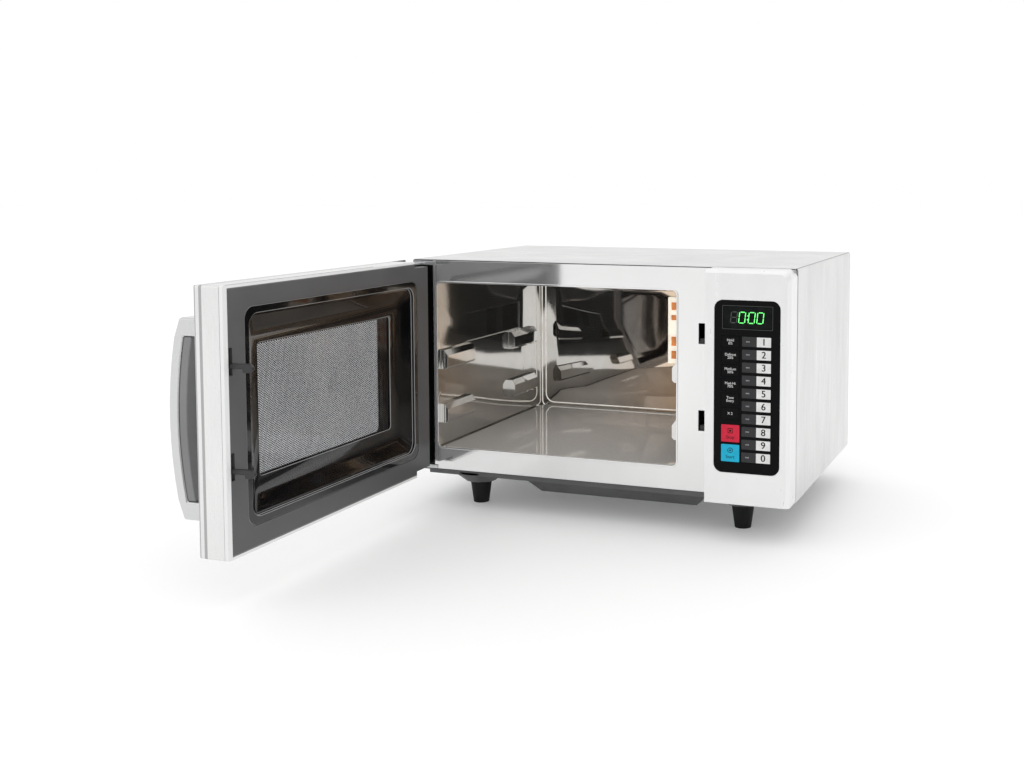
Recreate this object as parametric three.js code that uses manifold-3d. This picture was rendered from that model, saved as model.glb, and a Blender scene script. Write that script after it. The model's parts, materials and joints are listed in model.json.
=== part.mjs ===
// Commercial countertop microwave oven, side-hinged door shown open at a right angle.
// Units are millimetres. X runs to the oven's right, Y to its back and Z up, with the feet on Z = 0.
// While the pieces are made, X = 0 is the middle of the cover and Y = 0 is the cover's front edge.
// At the end the whole oven is moved so that the origin is under the middle of its bounding box.

import * as THREE from 'three';
import { mergeVertices } from 'three/addons/utils/BufferGeometryUtils.js';
import Module from 'manifold-3d';

const wasm = await Module();
wasm.setup();

// ---------------------------------------------------------------- overall sizes
const COVER_WIDTH = 511;
const COVER_DEPTH = 345;
const COVER_HEIGHT = 278;
const COVER_BOTTOM = 47;
const COVER_SHEET = 1;
const COVER_BEND = 3;
const SHEET = 0.8;
const BASE_SHEET = 1.2;
const GAP = 0.3;

// ---------------------------------------------------------------- cavity
const CAVITY_SIDE_MARGIN = 34;
const CAVITY_PANEL_MARGIN = 45.8;
const CAVITY_FLOOR_RISE = 27.5;
const CAVITY_TOP_MARGIN = 29;
const CAVITY_BACK_MARGIN = 13.5;
const CAVITY_CORNER = 4;
const APERTURE_INSET = 1;
const APERTURE_SILL_RISE = 5;
const APERTURE_TOP_INSET = 1.4;
const APERTURE_CORNER = 6;
const RIM_WIDTH = 2;
const RIM_PROUD = 0.8;

const RACK_LENGTH = 79;
const RACK_PROTRUSION = 10;
const RACK_HEIGHT = 25;
const RACK_FRONT_Y = 10;
const RACK_REAR_MARGIN = 37;
const RACK_UPPER_RISE = 105.5;
const RACK_LOWER_RISE = 34.5;
const VENT_PRESS_DEPTH = 2;
const VENT_PRESS_Y = 80;
const VENT_PRESS_LENGTH = 172;
const VENT_PRESS_DROP = 89;
const VENT_PRESS_HEIGHT = 39;

const BACK_PRESS_MARGIN = 8.5;
const BACK_PRESS_SLOPE = 19;
const BACK_PRESS_DEPTH = 6;
const BACK_PRESS_CORNER = 14;
const BACK_FLANGE = 7;

const PLATE_THICKNESS = 4.2;
const PLATE_FRONT_Y = 5;
const PLATE_CORNER = 12;
const ANTENNA_WELL_RADIUS = 112;
const ANTENNA_WELL_DEPTH = 15;
const ANTENNA_RADIUS = 96;
const ANTENNA_THICKNESS = 1.5;

const LAMP_COVER_FROM_RIGHT = 116.8;
const LAMP_COVER_WIDTH = 44;
const LAMP_COVER_RISE = 80.5;
const LAMP_COVER_HEIGHT = 99;
const LAMP_COVER_THICKNESS = 6;
const LAMP_RADIUS = 5;

// ---------------------------------------------------------------- front
const FRONT_SHEET = 1.2;
const FRONT_BOTTOM = 50;
const FRONT_TOP_GAP = 1.8;
const PANEL_WIDTH = 102;
const PANEL_PROUD = 36;
const PANEL_BOTTOM = 48.2;
const PANEL_TOP_DROP = 0.8;
const PANEL_SIDE_DROP = 0.5;
const PANEL_WALL = 2;
const PANEL_CHAMFER = 4;
const PANEL_CORNER = 10;
const OVERLAY_INSET = 11.5;
const OVERLAY_WIDTH = 78.5;
const OVERLAY_TOP_DROP = 35.2;
const OVERLAY_HEIGHT = 203;
const OVERLAY_CORNER = 10;
const OVERLAY_THICKNESS = 1.3;
const OVERLAY_PROUD = 0.3;
const KEY_GAP = 0.35;
const KEY_THICKNESS = 1.5;
const KEY_PROUD = 0.5;
const KEY_TRAVEL = 0.5;
const NUMBER_KEY_INSET = 33.5;
const NUMBER_KEY_WIDTH = 34.5;
const NUMBER_KEY_HEIGHT = 11.6;
const NUMBER_KEY_DROP = 47.8;
const NUMBER_KEY_PITCH = 15.1;
const MODE_KEY_INSET = 9;
const MODE_KEY_WIDTH = 21.2;
const MODE_KEY_HEIGHT = 13.6;
const MODE_KEY_DROP = 48.6;
const MODE_KEY_PITCH = 16.9;
const ACTION_KEY_WIDTH = 22;
const ACTION_KEY_HEIGHT = 20.4;
const STOP_KEY_DROP = 156.5;
const START_KEY_DROP = 179.8;
const DISPLAY_INSET = 11;
const DISPLAY_WIDTH = 57.5;
const DISPLAY_DROP = 32.5;
const DISPLAY_HEIGHT = 25;

// ---------------------------------------------------------------- door
const DOOR_THICKNESS = 34.5;
const DOOR_SEAT_GAP = 1.5;
const DOOR_SIDE_GAP = 2.5;
const DOOR_SHEET = 1;
const DOOR_EDGE_BEND = 2;
const INNER_PANEL = 4.2;
const HINGE_FROM_SIDE = 9.5;
const HINGE_FROM_FRONT = 22;
const HINGE_PIN_RADIUS = 3;
const HINGE_NOTCH_WIDTH = 35;
const HINGE_NOTCH_HEIGHT = 8;
const HINGE_ARM_THICKNESS = 2;
const CHOKE_MARGIN_SIDE = 5.5;
const CHOKE_MARGIN_SILL = 6;
const CHOKE_CORNER = 14;
const CHOKE_DEPTH = 12;
const CHOKE_BAND = 8;
const WINDOW_HINGE_MARGIN = 48;
const WINDOW_LATCH_MARGIN = 35.7;
const WINDOW_LOW_MARGIN = 45.5;
const WINDOW_HIGH_MARGIN = 41.6;
const SCREEN_MARGIN = 16;
const GLASS_THICKNESS = 3;
const GLASS_MARGIN = 10;
const LATCH_FROM_PANEL = 12.5;
const LATCH_THICKNESS = 4.4;
const LATCH_UPPER_RISE = 51.8;
const LATCH_LOWER_DROP = 54.2;
const LATCH_REACH = 27;
const LATCH_LIFT = 9;
const LATCH_DROP = 3;
const HOOK_HEIGHT = 9;
const SPRING_LENGTH = 22;
const SPRING_RADIUS = 3.2;
const SPRING_WIRE = 0.7;
const HANDLE_FROM_EDGE = 28.5;
const HANDLE_WIDTH = 26;
const HANDLE_LOW_MARGIN = 32.8;
const HANDLE_HIGH_MARGIN = 35.2;
const HANDLE_STANDOFF = 47;
const HANDLE_END_STANDOFF = 34.5;
const HANDLE_BOW = 11.5;
const HANDLE_GRIP = 10;
const HANDLE_LEG = 19;

// ---------------------------------------------------------------- feet
const FOOT_HEIGHT = 30;
const FOOT_TOP_RADIUS = 14.3;
const FOOT_SOLE_RADIUS = 10.2;
const FOOT_SIDE_MARGIN = 75.5;
const FOOT_END_MARGIN = 42;
const FOOT_BOSS_TOP_RADIUS = 38;
const FOOT_BOSS_RADIUS = 21;
const FOOT_STEM_RADIUS = 4.5;

// ---------------------------------------------------------------- base
const BASE_PAN_DROP = 6;
const BASE_PAN_INSET = 16;
const BASE_WELL_PAST_STIRRER = 54.85;
const BASE_WELL_PAST_CAVITY = 32.8;
const BASE_WELL_FRONT = 22;
const BASE_WELL_BACK_MARGIN = 68;
const BASE_WELL_BOTTOM = 21;
const BASE_WELL_SLOPE = 20;

// ---------------------------------------------------------------- values that follow
const HALF = COVER_WIDTH / 2;
const COVER_TOP = COVER_BOTTOM + COVER_HEIGHT;
const INSIDE = HALF - COVER_SHEET - GAP;
const INSIDE_TOP = COVER_TOP - COVER_SHEET;
const BASE_FLANGE_Z = COVER_BOTTOM + 1;
const BASE_PAN_Z = BASE_FLANGE_Z - BASE_PAN_DROP;
const FRONT_TOP = COVER_TOP - FRONT_TOP_GAP;
const BACK_FACE = COVER_DEPTH - 0.3;
const BACK_INNER_FACE = BACK_FACE - BASE_SHEET;

const PANEL_RIGHT = HALF - PANEL_SIDE_DROP;
const PANEL_LEFT = PANEL_RIGHT - PANEL_WIDTH;
const PANEL_TOP = COVER_TOP - PANEL_TOP_DROP;
const PANEL_FACE = -PANEL_PROUD;

const CAVITY_LEFT = -HALF + CAVITY_SIDE_MARGIN;
const CAVITY_RIGHT = PANEL_LEFT - CAVITY_PANEL_MARGIN;
const CAVITY_CENTRE = (CAVITY_LEFT + CAVITY_RIGHT) / 2;
const CAVITY_FLOOR = COVER_BOTTOM + CAVITY_FLOOR_RISE;
const CAVITY_TOP = COVER_TOP - CAVITY_TOP_MARGIN;
const CAVITY_FRONT = FRONT_SHEET + GAP;
const CAVITY_BACK = BACK_INNER_FACE - CAVITY_BACK_MARGIN;
const BACK_WALL_FRONT = CAVITY_BACK + GAP;
const CAVITY_MID_Y = (CAVITY_FRONT + CAVITY_BACK) / 2;
const APERTURE_LEFT = CAVITY_LEFT + APERTURE_INSET;
const APERTURE_RIGHT = CAVITY_RIGHT - APERTURE_INSET;
const APERTURE_SILL = CAVITY_FLOOR + APERTURE_SILL_RISE;
const APERTURE_TOP = CAVITY_TOP - APERTURE_TOP_INSET;
const BACK_PRESS_FRONT = BACK_WALL_FRONT - BACK_PRESS_DEPTH;
const WELL_BOTTOM = CAVITY_FLOOR - ANTENNA_WELL_DEPTH;
const GUIDE_TOP = WELL_BOTTOM - SHEET - GAP;
const GUIDE_BOTTOM = BASE_PAN_Z + BASE_SHEET + 0.8;
const PLATE_BOTTOM = CAVITY_FLOOR + GAP;
const RACK_REAR_Y = CAVITY_BACK - RACK_REAR_MARGIN - RACK_LENGTH;
const RACK_UPPER_Z = CAVITY_FLOOR + RACK_UPPER_RISE;
const RACK_LOWER_Z = CAVITY_FLOOR + RACK_LOWER_RISE;
const VENT_PRESS_Z = CAVITY_TOP - VENT_PRESS_DROP;
const LAMP_COVER_LEFT = CAVITY_RIGHT - LAMP_COVER_FROM_RIGHT;
const LAMP_COVER_BOTTOM = CAVITY_FLOOR + LAMP_COVER_RISE;

const FOOT_FROM_MIDDLE = HALF - FOOT_SIDE_MARGIN;
const FOOT_FRONT_Y = FOOT_END_MARGIN;
const FOOT_REAR_Y = COVER_DEPTH - FOOT_END_MARGIN;
const BASE_WELL_LEFT = CAVITY_CENTRE - BASE_WELL_PAST_STIRRER;
const BASE_WELL_RIGHT = CAVITY_RIGHT + BASE_WELL_PAST_CAVITY;
const BASE_WELL_BACK = CAVITY_BACK - BASE_WELL_BACK_MARGIN;

const OVERLAY_LEFT = PANEL_LEFT + OVERLAY_INSET;
const OVERLAY_TOP = PANEL_TOP - OVERLAY_TOP_DROP;
const OVERLAY_BOTTOM = OVERLAY_TOP - OVERLAY_HEIGHT;
const NUMBER_KEY_LEFT = OVERLAY_LEFT + NUMBER_KEY_INSET;
const NUMBER_KEY_TOP_Z = OVERLAY_TOP - NUMBER_KEY_DROP;
const MODE_KEY_LEFT = OVERLAY_LEFT + MODE_KEY_INSET;
const MODE_KEY_TOP_Z = OVERLAY_TOP - MODE_KEY_DROP;
const STOP_KEY_Z = OVERLAY_TOP - STOP_KEY_DROP;
const START_KEY_Z = OVERLAY_TOP - START_KEY_DROP;
const DISPLAY_LEFT = OVERLAY_LEFT + DISPLAY_INSET;
const DISPLAY_BOTTOM = OVERLAY_TOP - DISPLAY_DROP;

const DOOR_LEFT = -HALF + 0.5;
const DOOR_RIGHT = PANEL_LEFT - DOOR_SIDE_GAP;
const DOOR_BOTTOM = PANEL_BOTTOM;
const DOOR_TOP = PANEL_TOP;
const DOOR_INNER = -DOOR_SEAT_GAP;
const DOOR_OUTER = DOOR_INNER - DOOR_THICKNESS;
const INNER_PANEL_BACK = DOOR_INNER - INNER_PANEL;
const HINGE_X = -HALF + HINGE_FROM_SIDE;
const HINGE_Y = -HINGE_FROM_FRONT;
const NOTCH_TOP = DOOR_TOP - HINGE_NOTCH_HEIGHT;
const NOTCH_BOTTOM = DOOR_BOTTOM + HINGE_NOTCH_HEIGHT;
const CHOKE_LEFT = APERTURE_LEFT - CHOKE_MARGIN_SIDE;
const CHOKE_RIGHT = APERTURE_RIGHT + CHOKE_MARGIN_SIDE + 6;
const CHOKE_BOTTOM = APERTURE_SILL - CHOKE_MARGIN_SILL;
const CHOKE_TOP = APERTURE_TOP + CHOKE_MARGIN_SILL;
const CHOKE_FLOOR = DOOR_INNER - CHOKE_DEPTH;
const WINDOW_LEFT = CHOKE_LEFT + WINDOW_HINGE_MARGIN;
const WINDOW_RIGHT = CHOKE_RIGHT - WINDOW_LATCH_MARGIN;
const WINDOW_BOTTOM = CHOKE_BOTTOM + WINDOW_LOW_MARGIN;
const WINDOW_TOP = CHOKE_TOP - WINDOW_HIGH_MARGIN;
const DOOR_MID_Z = (DOOR_BOTTOM + DOOR_TOP) / 2;
const LATCH_X = PANEL_LEFT - LATCH_FROM_PANEL;
const LATCH_UPPER_Z = DOOR_MID_Z + LATCH_UPPER_RISE;
const LATCH_LOWER_Z = DOOR_MID_Z - LATCH_LOWER_DROP;
const HANDLE_X = DOOR_RIGHT - HANDLE_FROM_EDGE;
const HANDLE_BOTTOM = DOOR_BOTTOM + HANDLE_LOW_MARGIN;
const HANDLE_TOP = DOOR_TOP - HANDLE_HIGH_MARGIN;

// ---------------------------------------------------------------- colours
const materials = {
  cover: steel(0xd6d5d2, 0.32),
  polished: steel(0xc9c7c3, 0.12),
  zinc: steel(0xb4b7b8, 0.4),
  darkSheet: steel(0x4a4b4d, 0.55),
  aluminium: steel(0xbfc1c3, 0.35),
  core: steel(0x5b4a40, 0.7),
  copper: steel(0xa8612f, 0.45),
  ceramic: plain(0xb5aca0, 0.15),
  cream: plain(0xe9e2cf, 0.4),
  rubber: plain(0x141414, 0.8),
  greyPanel: plain(0x5a5b5d, 0.45),
  blackGloss: plain(0x0b0b0c, 0.12),
  blackPlastic: plain(0x1c1c1e, 0.5),
  silverPlastic: plain(0xd9dadb, 0.3),
  whitePlastic: plain(0xe6e6e3, 0.45),
  board: plain(0x2c5a38, 0.6),
  screen: steel(0x3a3b3c, 0.45),
  glass: plain(0x1b1d1f, 0.05),
  keyDark: plain(0x2a2b2d, 0.3),
  keyRed: plain(0xc42a3a, 0.35),
  keyCyan: plain(0x1fa9c9, 0.35),
  lamp: plain(0xffd9a0, 0.2),
};

function steel(color, roughness) {
  return new THREE.MeshStandardMaterial({ color, roughness, metalness: 0.9 });
}

function plain(color, roughness) {
  return new THREE.MeshStandardMaterial({ color, roughness, metalness: 0 });
}

// ---------------------------------------------------------------- solids from geometry classes
function solid(geometry) {
  const bare = geometry.index ? geometry.toNonIndexed() : geometry.clone();
  bare.deleteAttribute('normal');
  bare.deleteAttribute('uv');
  const merged = mergeVertices(bare, 1e-4);
  const mesh = new wasm.Mesh({
    numProp: 3,
    vertProperties: new Float32Array(merged.attributes.position.array),
    triVerts: new Uint32Array(merged.index.array),
  });
  return new wasm.Manifold(mesh);
}

function box(x0, x1, y0, y1, z0, z1) {
  const geometry = new THREE.BoxGeometry(x1 - x0, y1 - y0, z1 - z0);
  geometry.translate((x0 + x1) / 2, (y0 + y1) / 2, (z0 + z1) / 2);
  return solid(geometry);
}

// A box whose lower end is smaller by the inset on all four sides.
function taperedBox(x0, x1, y0, y1, zLow, zHigh, inset) {
  const geometry = new THREE.BoxGeometry(x1 - x0, y1 - y0, zHigh - zLow);
  geometry.translate((x0 + x1) / 2, (y0 + y1) / 2, (zLow + zHigh) / 2);
  const position = geometry.attributes.position;
  const midX = (x0 + x1) / 2;
  const midY = (y0 + y1) / 2;
  for (let i = 0; i < position.count; i += 1) {
    if (position.getZ(i) < (zLow + zHigh) / 2) {
      position.setX(i, position.getX(i) - Math.sign(position.getX(i) - midX) * inset);
      position.setY(i, position.getY(i) - Math.sign(position.getY(i) - midY) * inset);
    }
  }
  return solid(geometry);
}

function roundedOutline(u0, u1, v0, v1, radius) {
  const r = Math.max(0, Math.min(radius, (u1 - u0) / 2 - 0.01, (v1 - v0) / 2 - 0.01));
  const shape = new THREE.Shape();
  if (r < 0.05) {
    shape.moveTo(u0, v0);
    shape.lineTo(u1, v0);
    shape.lineTo(u1, v1);
    shape.lineTo(u0, v1);
    shape.closePath();
    return shape;
  }
  shape.moveTo(u0 + r, v0);
  shape.lineTo(u1 - r, v0);
  shape.absarc(u1 - r, v0 + r, r, -Math.PI / 2, 0, false);
  shape.lineTo(u1, v1 - r);
  shape.absarc(u1 - r, v1 - r, r, 0, Math.PI / 2, false);
  shape.lineTo(u0 + r, v1);
  shape.absarc(u0 + r, v1 - r, r, Math.PI / 2, Math.PI, false);
  shape.lineTo(u0, v0 + r);
  shape.absarc(u0 + r, v0 + r, r, Math.PI, 1.5 * Math.PI, false);
  return shape;
}

function outlineOf(points) {
  const shape = new THREE.Shape();
  points.forEach(([u, v], i) => (i === 0 ? shape.moveTo(u, v) : shape.lineTo(u, v)));
  shape.closePath();
  return shape;
}

// Pushes an outline drawn in X and Z along Y, from y0 back to y1.
function alongY(shape, y0, y1, segments = 4) {
  const settings = { depth: y1 - y0, bevelEnabled: false, curveSegments: segments };
  const geometry = new THREE.ExtrudeGeometry(shape, settings);
  geometry.rotateX(Math.PI / 2);
  geometry.translate(0, y1, 0);
  return solid(geometry);
}

// Pushes an outline drawn in X and Y up along Z.
function alongZ(shape, z0, z1, segments = 4) {
  const settings = { depth: z1 - z0, bevelEnabled: false, curveSegments: segments };
  const geometry = new THREE.ExtrudeGeometry(shape, settings);
  geometry.translate(0, 0, z0);
  return solid(geometry);
}

// Pushes an outline drawn in Y and Z along X.
function alongX(shape, x0, x1, segments = 4) {
  const settings = { depth: x1 - x0, bevelEnabled: false, curveSegments: segments };
  const geometry = new THREE.ExtrudeGeometry(shape, settings);
  geometry.rotateZ(Math.PI / 2);
  geometry.rotateY(Math.PI / 2);
  geometry.translate(x0, 0, 0);
  return solid(geometry);
}

function slab(x0, x1, z0, z1, radius, y0, y1, segments = 4) {
  return alongY(roundedOutline(x0, x1, z0, z1, radius), y0, y1, segments);
}

// A slab along Y whose front outline is smaller by the inset all round.
function taperedSlab(x0, x1, z0, z1, radius, yFront, yBack, insetFront, insetBack = 0) {
  const depth = yBack - yFront;
  const settings = { depth, bevelEnabled: false, curveSegments: 4 };
  const geometry = new THREE.ExtrudeGeometry(roundedOutline(x0, x1, z0, z1, radius), settings);
  geometry.rotateX(Math.PI / 2);
  geometry.translate(0, yBack, 0);
  const position = geometry.attributes.position;
  const midX = (x0 + x1) / 2;
  const midZ = (z0 + z1) / 2;
  for (let i = 0; i < position.count; i += 1) {
    const inset = position.getY(i) < (yFront + yBack) / 2 ? insetFront : insetBack;
    position.setX(i, position.getX(i) - Math.sign(position.getX(i) - midX) * inset);
    position.setZ(i, position.getZ(i) - Math.sign(position.getZ(i) - midZ) * inset);
  }
  return solid(geometry);
}

function rodZ(x, y, z0, z1, radius, topRadius = radius, segments = 24) {
  const geometry = new THREE.CylinderGeometry(topRadius, radius, z1 - z0, segments);
  geometry.rotateX(Math.PI / 2);
  geometry.translate(x, y, (z0 + z1) / 2);
  return solid(geometry);
}

function rodY(x, z, y0, y1, radius, segments = 24) {
  const geometry = new THREE.CylinderGeometry(radius, radius, y1 - y0, segments);
  geometry.translate(x, (y0 + y1) / 2, z);
  return solid(geometry);
}

function rodX(y, z, x0, x1, radius, segments = 16) {
  const geometry = new THREE.CylinderGeometry(radius, radius, x1 - x0, segments);
  geometry.rotateZ(Math.PI / 2);
  geometry.translate((x0 + x1) / 2, y, z);
  return solid(geometry);
}

function join(...solids) {
  return solids.reduce((sum, next) => sum.add(next));
}

function cut(body, ...tools) {
  return tools.reduce((rest, tool) => rest.subtract(tool), body);
}

function geometryOf(body) {
  const mesh = body.getMesh();
  const geometry = new THREE.BufferGeometry();
  const count = mesh.numProp;
  const vertices = new Float32Array((mesh.vertProperties.length / count) * 3);
  for (let i = 0; i < vertices.length / 3; i += 1) {
    vertices[3 * i] = mesh.vertProperties[count * i];
    vertices[3 * i + 1] = mesh.vertProperties[count * i + 1];
    vertices[3 * i + 2] = mesh.vertProperties[count * i + 2];
  }
  geometry.setAttribute('position', new THREE.BufferAttribute(vertices, 3));
  geometry.setIndex(new THREE.BufferAttribute(new Uint32Array(mesh.triVerts), 1));
  geometry.computeVertexNormals();
  return geometry;
}

function place(group, name, body, material) {
  const mesh = new THREE.Mesh(geometryOf(body), material);
  mesh.name = name;
  group.add(mesh);
  return mesh;
}

// ---------------------------------------------------------------- casing
function outerCover() {
  const outside = coverOutline(HALF, COVER_TOP, COVER_BEND, COVER_BOTTOM);
  const inner = coverOutline(HALF - COVER_SHEET, INSIDE_TOP, COVER_BEND - COVER_SHEET, COVER_BOTTOM - 10);
  return cut(alongY(outside, 0, COVER_DEPTH), alongY(inner, -5, COVER_DEPTH + 5));
}

// Straight sides with the two upper corners bent to a small radius.
function coverOutline(half, top, bend, bottom) {
  const shape = new THREE.Shape();
  shape.moveTo(-half, bottom);
  shape.lineTo(half, bottom);
  shape.lineTo(half, top - bend);
  shape.absarc(half - bend, top - bend, bend, 0, Math.PI / 2, false);
  shape.lineTo(-half + bend, top);
  shape.absarc(-half + bend, top - bend, bend, Math.PI / 2, Math.PI, false);
  shape.closePath();
  return shape;
}

function footPositions() {
  return [
    ['foot_front_left', -FOOT_FROM_MIDDLE, FOOT_FRONT_Y],
    ['foot_front_right', FOOT_FROM_MIDDLE, FOOT_FRONT_Y],
    ['foot_rear_left', -FOOT_FROM_MIDDLE, FOOT_REAR_Y],
    ['foot_rear_right', FOOT_FROM_MIDDLE, FOOT_REAR_Y],
  ];
}

function basePlate() {
  const front = FRONT_SHEET + GAP;
  const back = BACK_INNER_FACE - GAP;
  const t = BASE_SHEET;
  const panLeft = -INSIDE + BASE_PAN_INSET;
  const panRight = INSIDE - BASE_PAN_INSET;
  const panFront = front + 6;
  const panBack = back - 6;
  let outer = box(-INSIDE, INSIDE, front, back, BASE_FLANGE_Z, BASE_FLANGE_Z + t);
  outer = outer.add(box(panLeft, panRight, panFront, panBack, BASE_PAN_Z, BASE_FLANGE_Z + t));
  outer = outer.add(wellSolid(0));
  for (const [, x, y] of footPositions()) {
    outer = outer.add(rodZ(x, y, FOOT_HEIGHT, BASE_PAN_Z + t, FOOT_BOSS_RADIUS, FOOT_BOSS_TOP_RADIUS, 20));
  }
  let inner = box(panLeft + t, panRight - t, panFront + t, panBack - t, BASE_PAN_Z + t, BASE_FLANGE_Z + 20);
  inner = inner.add(wellSolid(t));
  for (const [, x, y] of footPositions()) {
    const top = BASE_PAN_Z + t + 2;
    inner = inner.add(rodZ(x, y, FOOT_HEIGHT + t, top, FOOT_BOSS_RADIUS - t, FOOT_BOSS_TOP_RADIUS, 20));
    inner = inner.add(rodZ(x, y, FOOT_HEIGHT - 5, top, FOOT_STEM_RADIUS + 0.5, FOOT_STEM_RADIUS + 0.5, 12));
  }
  return cut(outer, inner);
}

// The drawn-down middle of the base, under the waveguide and the stirrer motor.
function wellSolid(wall) {
  return taperedBox(
    BASE_WELL_LEFT + wall,
    BASE_WELL_RIGHT - wall,
    BASE_WELL_FRONT + wall,
    BASE_WELL_BACK - wall,
    BASE_WELL_BOTTOM + wall,
    BASE_PAN_Z + BASE_SHEET + wall,
    BASE_WELL_SLOPE,
  );
}

function backPanel() {
  let panel = slab(-INSIDE, INSIDE, BASE_FLANGE_Z + BASE_SHEET + GAP, INSIDE_TOP - GAP, COVER_BEND,
      BACK_INNER_FACE, BACK_FACE, 3);
  const slotLength = 44;
  const slotHeight = 4;
  for (let row = 0; row < 9; row += 1) {
    const z = FAN_Z - 44 + row * 11;
    panel = panel.subtract(box(FAN_X - slotLength, FAN_X - 3, BACK_INNER_FACE - 2, BACK_FACE + 2,
        z - slotHeight / 2, z + slotHeight / 2));
    panel = panel.subtract(box(FAN_X + 3, FAN_X + slotLength, BACK_INNER_FACE - 2, BACK_FACE + 2,
        z - slotHeight / 2, z + slotHeight / 2));
  }
  for (let column = 0; column < 10; column += 1) {
    const x = CAVITY_CENTRE - 108 + column * 24;
    panel = panel.subtract(box(x - 2, x + 2, BACK_INNER_FACE - 2, BACK_FACE + 2, COVER_TOP - 24,
        COVER_TOP - 10));
  }
  return panel.subtract(rodY(GLAND_X, GLAND_Z, BACK_INNER_FACE - 3, BACK_FACE + 3, GLAND_RADIUS + 0.5));
}

function frontPlate() {
  const left = -INSIDE;
  const right = INSIDE;
  let plate = slab(left, right, FRONT_BOTTOM, FRONT_TOP, COVER_BEND, 0, FRONT_SHEET, 3);
  plate = plate.add(box(left + COVER_BEND, right - COVER_BEND, 0, 12, FRONT_TOP - FRONT_SHEET, FRONT_TOP));
  plate = plate.add(slab(APERTURE_LEFT - RIM_WIDTH, APERTURE_RIGHT + RIM_WIDTH, APERTURE_SILL - RIM_WIDTH,
    APERTURE_TOP + RIM_WIDTH, APERTURE_CORNER + RIM_WIDTH, -RIM_PROUD, FRONT_SHEET));
  plate = plate.subtract(slab(APERTURE_LEFT, APERTURE_RIGHT, APERTURE_SILL, APERTURE_TOP, APERTURE_CORNER,
      -5, FRONT_SHEET + 5));
  for (const hookZ of [LATCH_UPPER_Z, LATCH_LOWER_Z]) {
    plate = plate.subtract(box(LATCH_X - 6, LATCH_X + 6, -5, 5, hookZ - 7, hookZ + 18));
  }
  return plate.subtract(box(PANEL_LEFT + 14, PANEL_RIGHT - 22, -5, 5, OVERLAY_BOTTOM + 20,
      OVERLAY_BOTTOM + 170));
}

function foot(x, y) {
  const top = FOOT_HEIGHT - GAP;
  const body = rodZ(x, y, 0, top, FOOT_SOLE_RADIUS, FOOT_TOP_RADIUS, 24);
  const stem = rodZ(x, y, top - 1, FOOT_HEIGHT + BASE_SHEET + 3, FOOT_STEM_RADIUS, FOOT_STEM_RADIUS, 16);
  const barb = rodZ(x, y, FOOT_HEIGHT + BASE_SHEET + 0.6, FOOT_HEIGHT + BASE_SHEET + 4,
      FOOT_STEM_RADIUS + 2, FOOT_STEM_RADIUS - 1, 16);
  return join(body, stem, barb);
}

// ---------------------------------------------------------------- cavity
function cavityLiner() {
  const outer = slab(CAVITY_LEFT - SHEET, CAVITY_RIGHT + SHEET, CAVITY_FLOOR - SHEET, CAVITY_TOP + SHEET,
    CAVITY_CORNER + SHEET, CAVITY_FRONT, CAVITY_BACK);
  let body = outer;
  body = body.add(rodZ(CAVITY_CENTRE, CAVITY_MID_Y, WELL_BOTTOM - SHEET, CAVITY_FLOOR,
      ANTENNA_WELL_RADIUS + SHEET, ANTENNA_WELL_RADIUS + SHEET, 40));
  const ventZ = VENT_PRESS_Z + VENT_PRESS_HEIGHT;
  const ventY = VENT_PRESS_Y + VENT_PRESS_LENGTH;
  body = body.add(box(CAVITY_LEFT - SHEET - VENT_PRESS_DEPTH, CAVITY_LEFT, VENT_PRESS_Y - SHEET,
      ventY + SHEET, VENT_PRESS_Z - SHEET, ventZ + SHEET));
  body = body.subtract(slab(CAVITY_LEFT, CAVITY_RIGHT, CAVITY_FLOOR, CAVITY_TOP, CAVITY_CORNER, -5,
      CAVITY_BACK + 5));
  body = body.subtract(rodZ(CAVITY_CENTRE, CAVITY_MID_Y, WELL_BOTTOM, CAVITY_FLOOR + 2, ANTENNA_WELL_RADIUS,
      ANTENNA_WELL_RADIUS, 40));
  body = body.subtract(box(CAVITY_LEFT - VENT_PRESS_DEPTH, CAVITY_LEFT + 1, VENT_PRESS_Y, ventY,
      VENT_PRESS_Z, ventZ));
  for (const y of [RACK_FRONT_Y, RACK_REAR_Y]) {
    for (const z of [RACK_UPPER_Z, RACK_LOWER_Z]) {
      body = body.add(rackSupport(y, z, 1, 0));
      body = body.add(rackSupport(y, z, -1, 0));
      body = body.subtract(rackSupport(y, z, 1, SHEET));
      body = body.subtract(rackSupport(y, z, -1, SHEET));
    }
  }
  return body.subtract(rodZ(CAVITY_CENTRE, CAVITY_MID_Y, WELL_BOTTOM - 5, WELL_BOTTOM + 5, 14, 14, 20));
}

// A ledge pressed into a side wall. side is 1 for the left wall and -1 for the right wall.
function rackSupport(y, z, side, wall) {
  const length = RACK_LENGTH - 2 * wall;
  const reach = RACK_PROTRUSION - wall;
  const start = wall > 0 ? -SHEET - 2 : -SHEET / 2;
  const bottom = z + wall;
  const top = z + RACK_HEIGHT - wall;
  const wallX = side > 0 ? CAVITY_LEFT : -CAVITY_RIGHT;
  const outline = outlineOf([
    [side * (wallX + start), bottom],
    [side * (wallX + reach - 3), bottom],
    [side * (wallX + reach), bottom + 3],
    [side * (wallX + reach), top - 7],
    [side * (wallX + reach - 5), top],
    [side * (wallX + start), top],
  ]);
  return alongY(outline, y + wall, y + wall + length);
}

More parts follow.
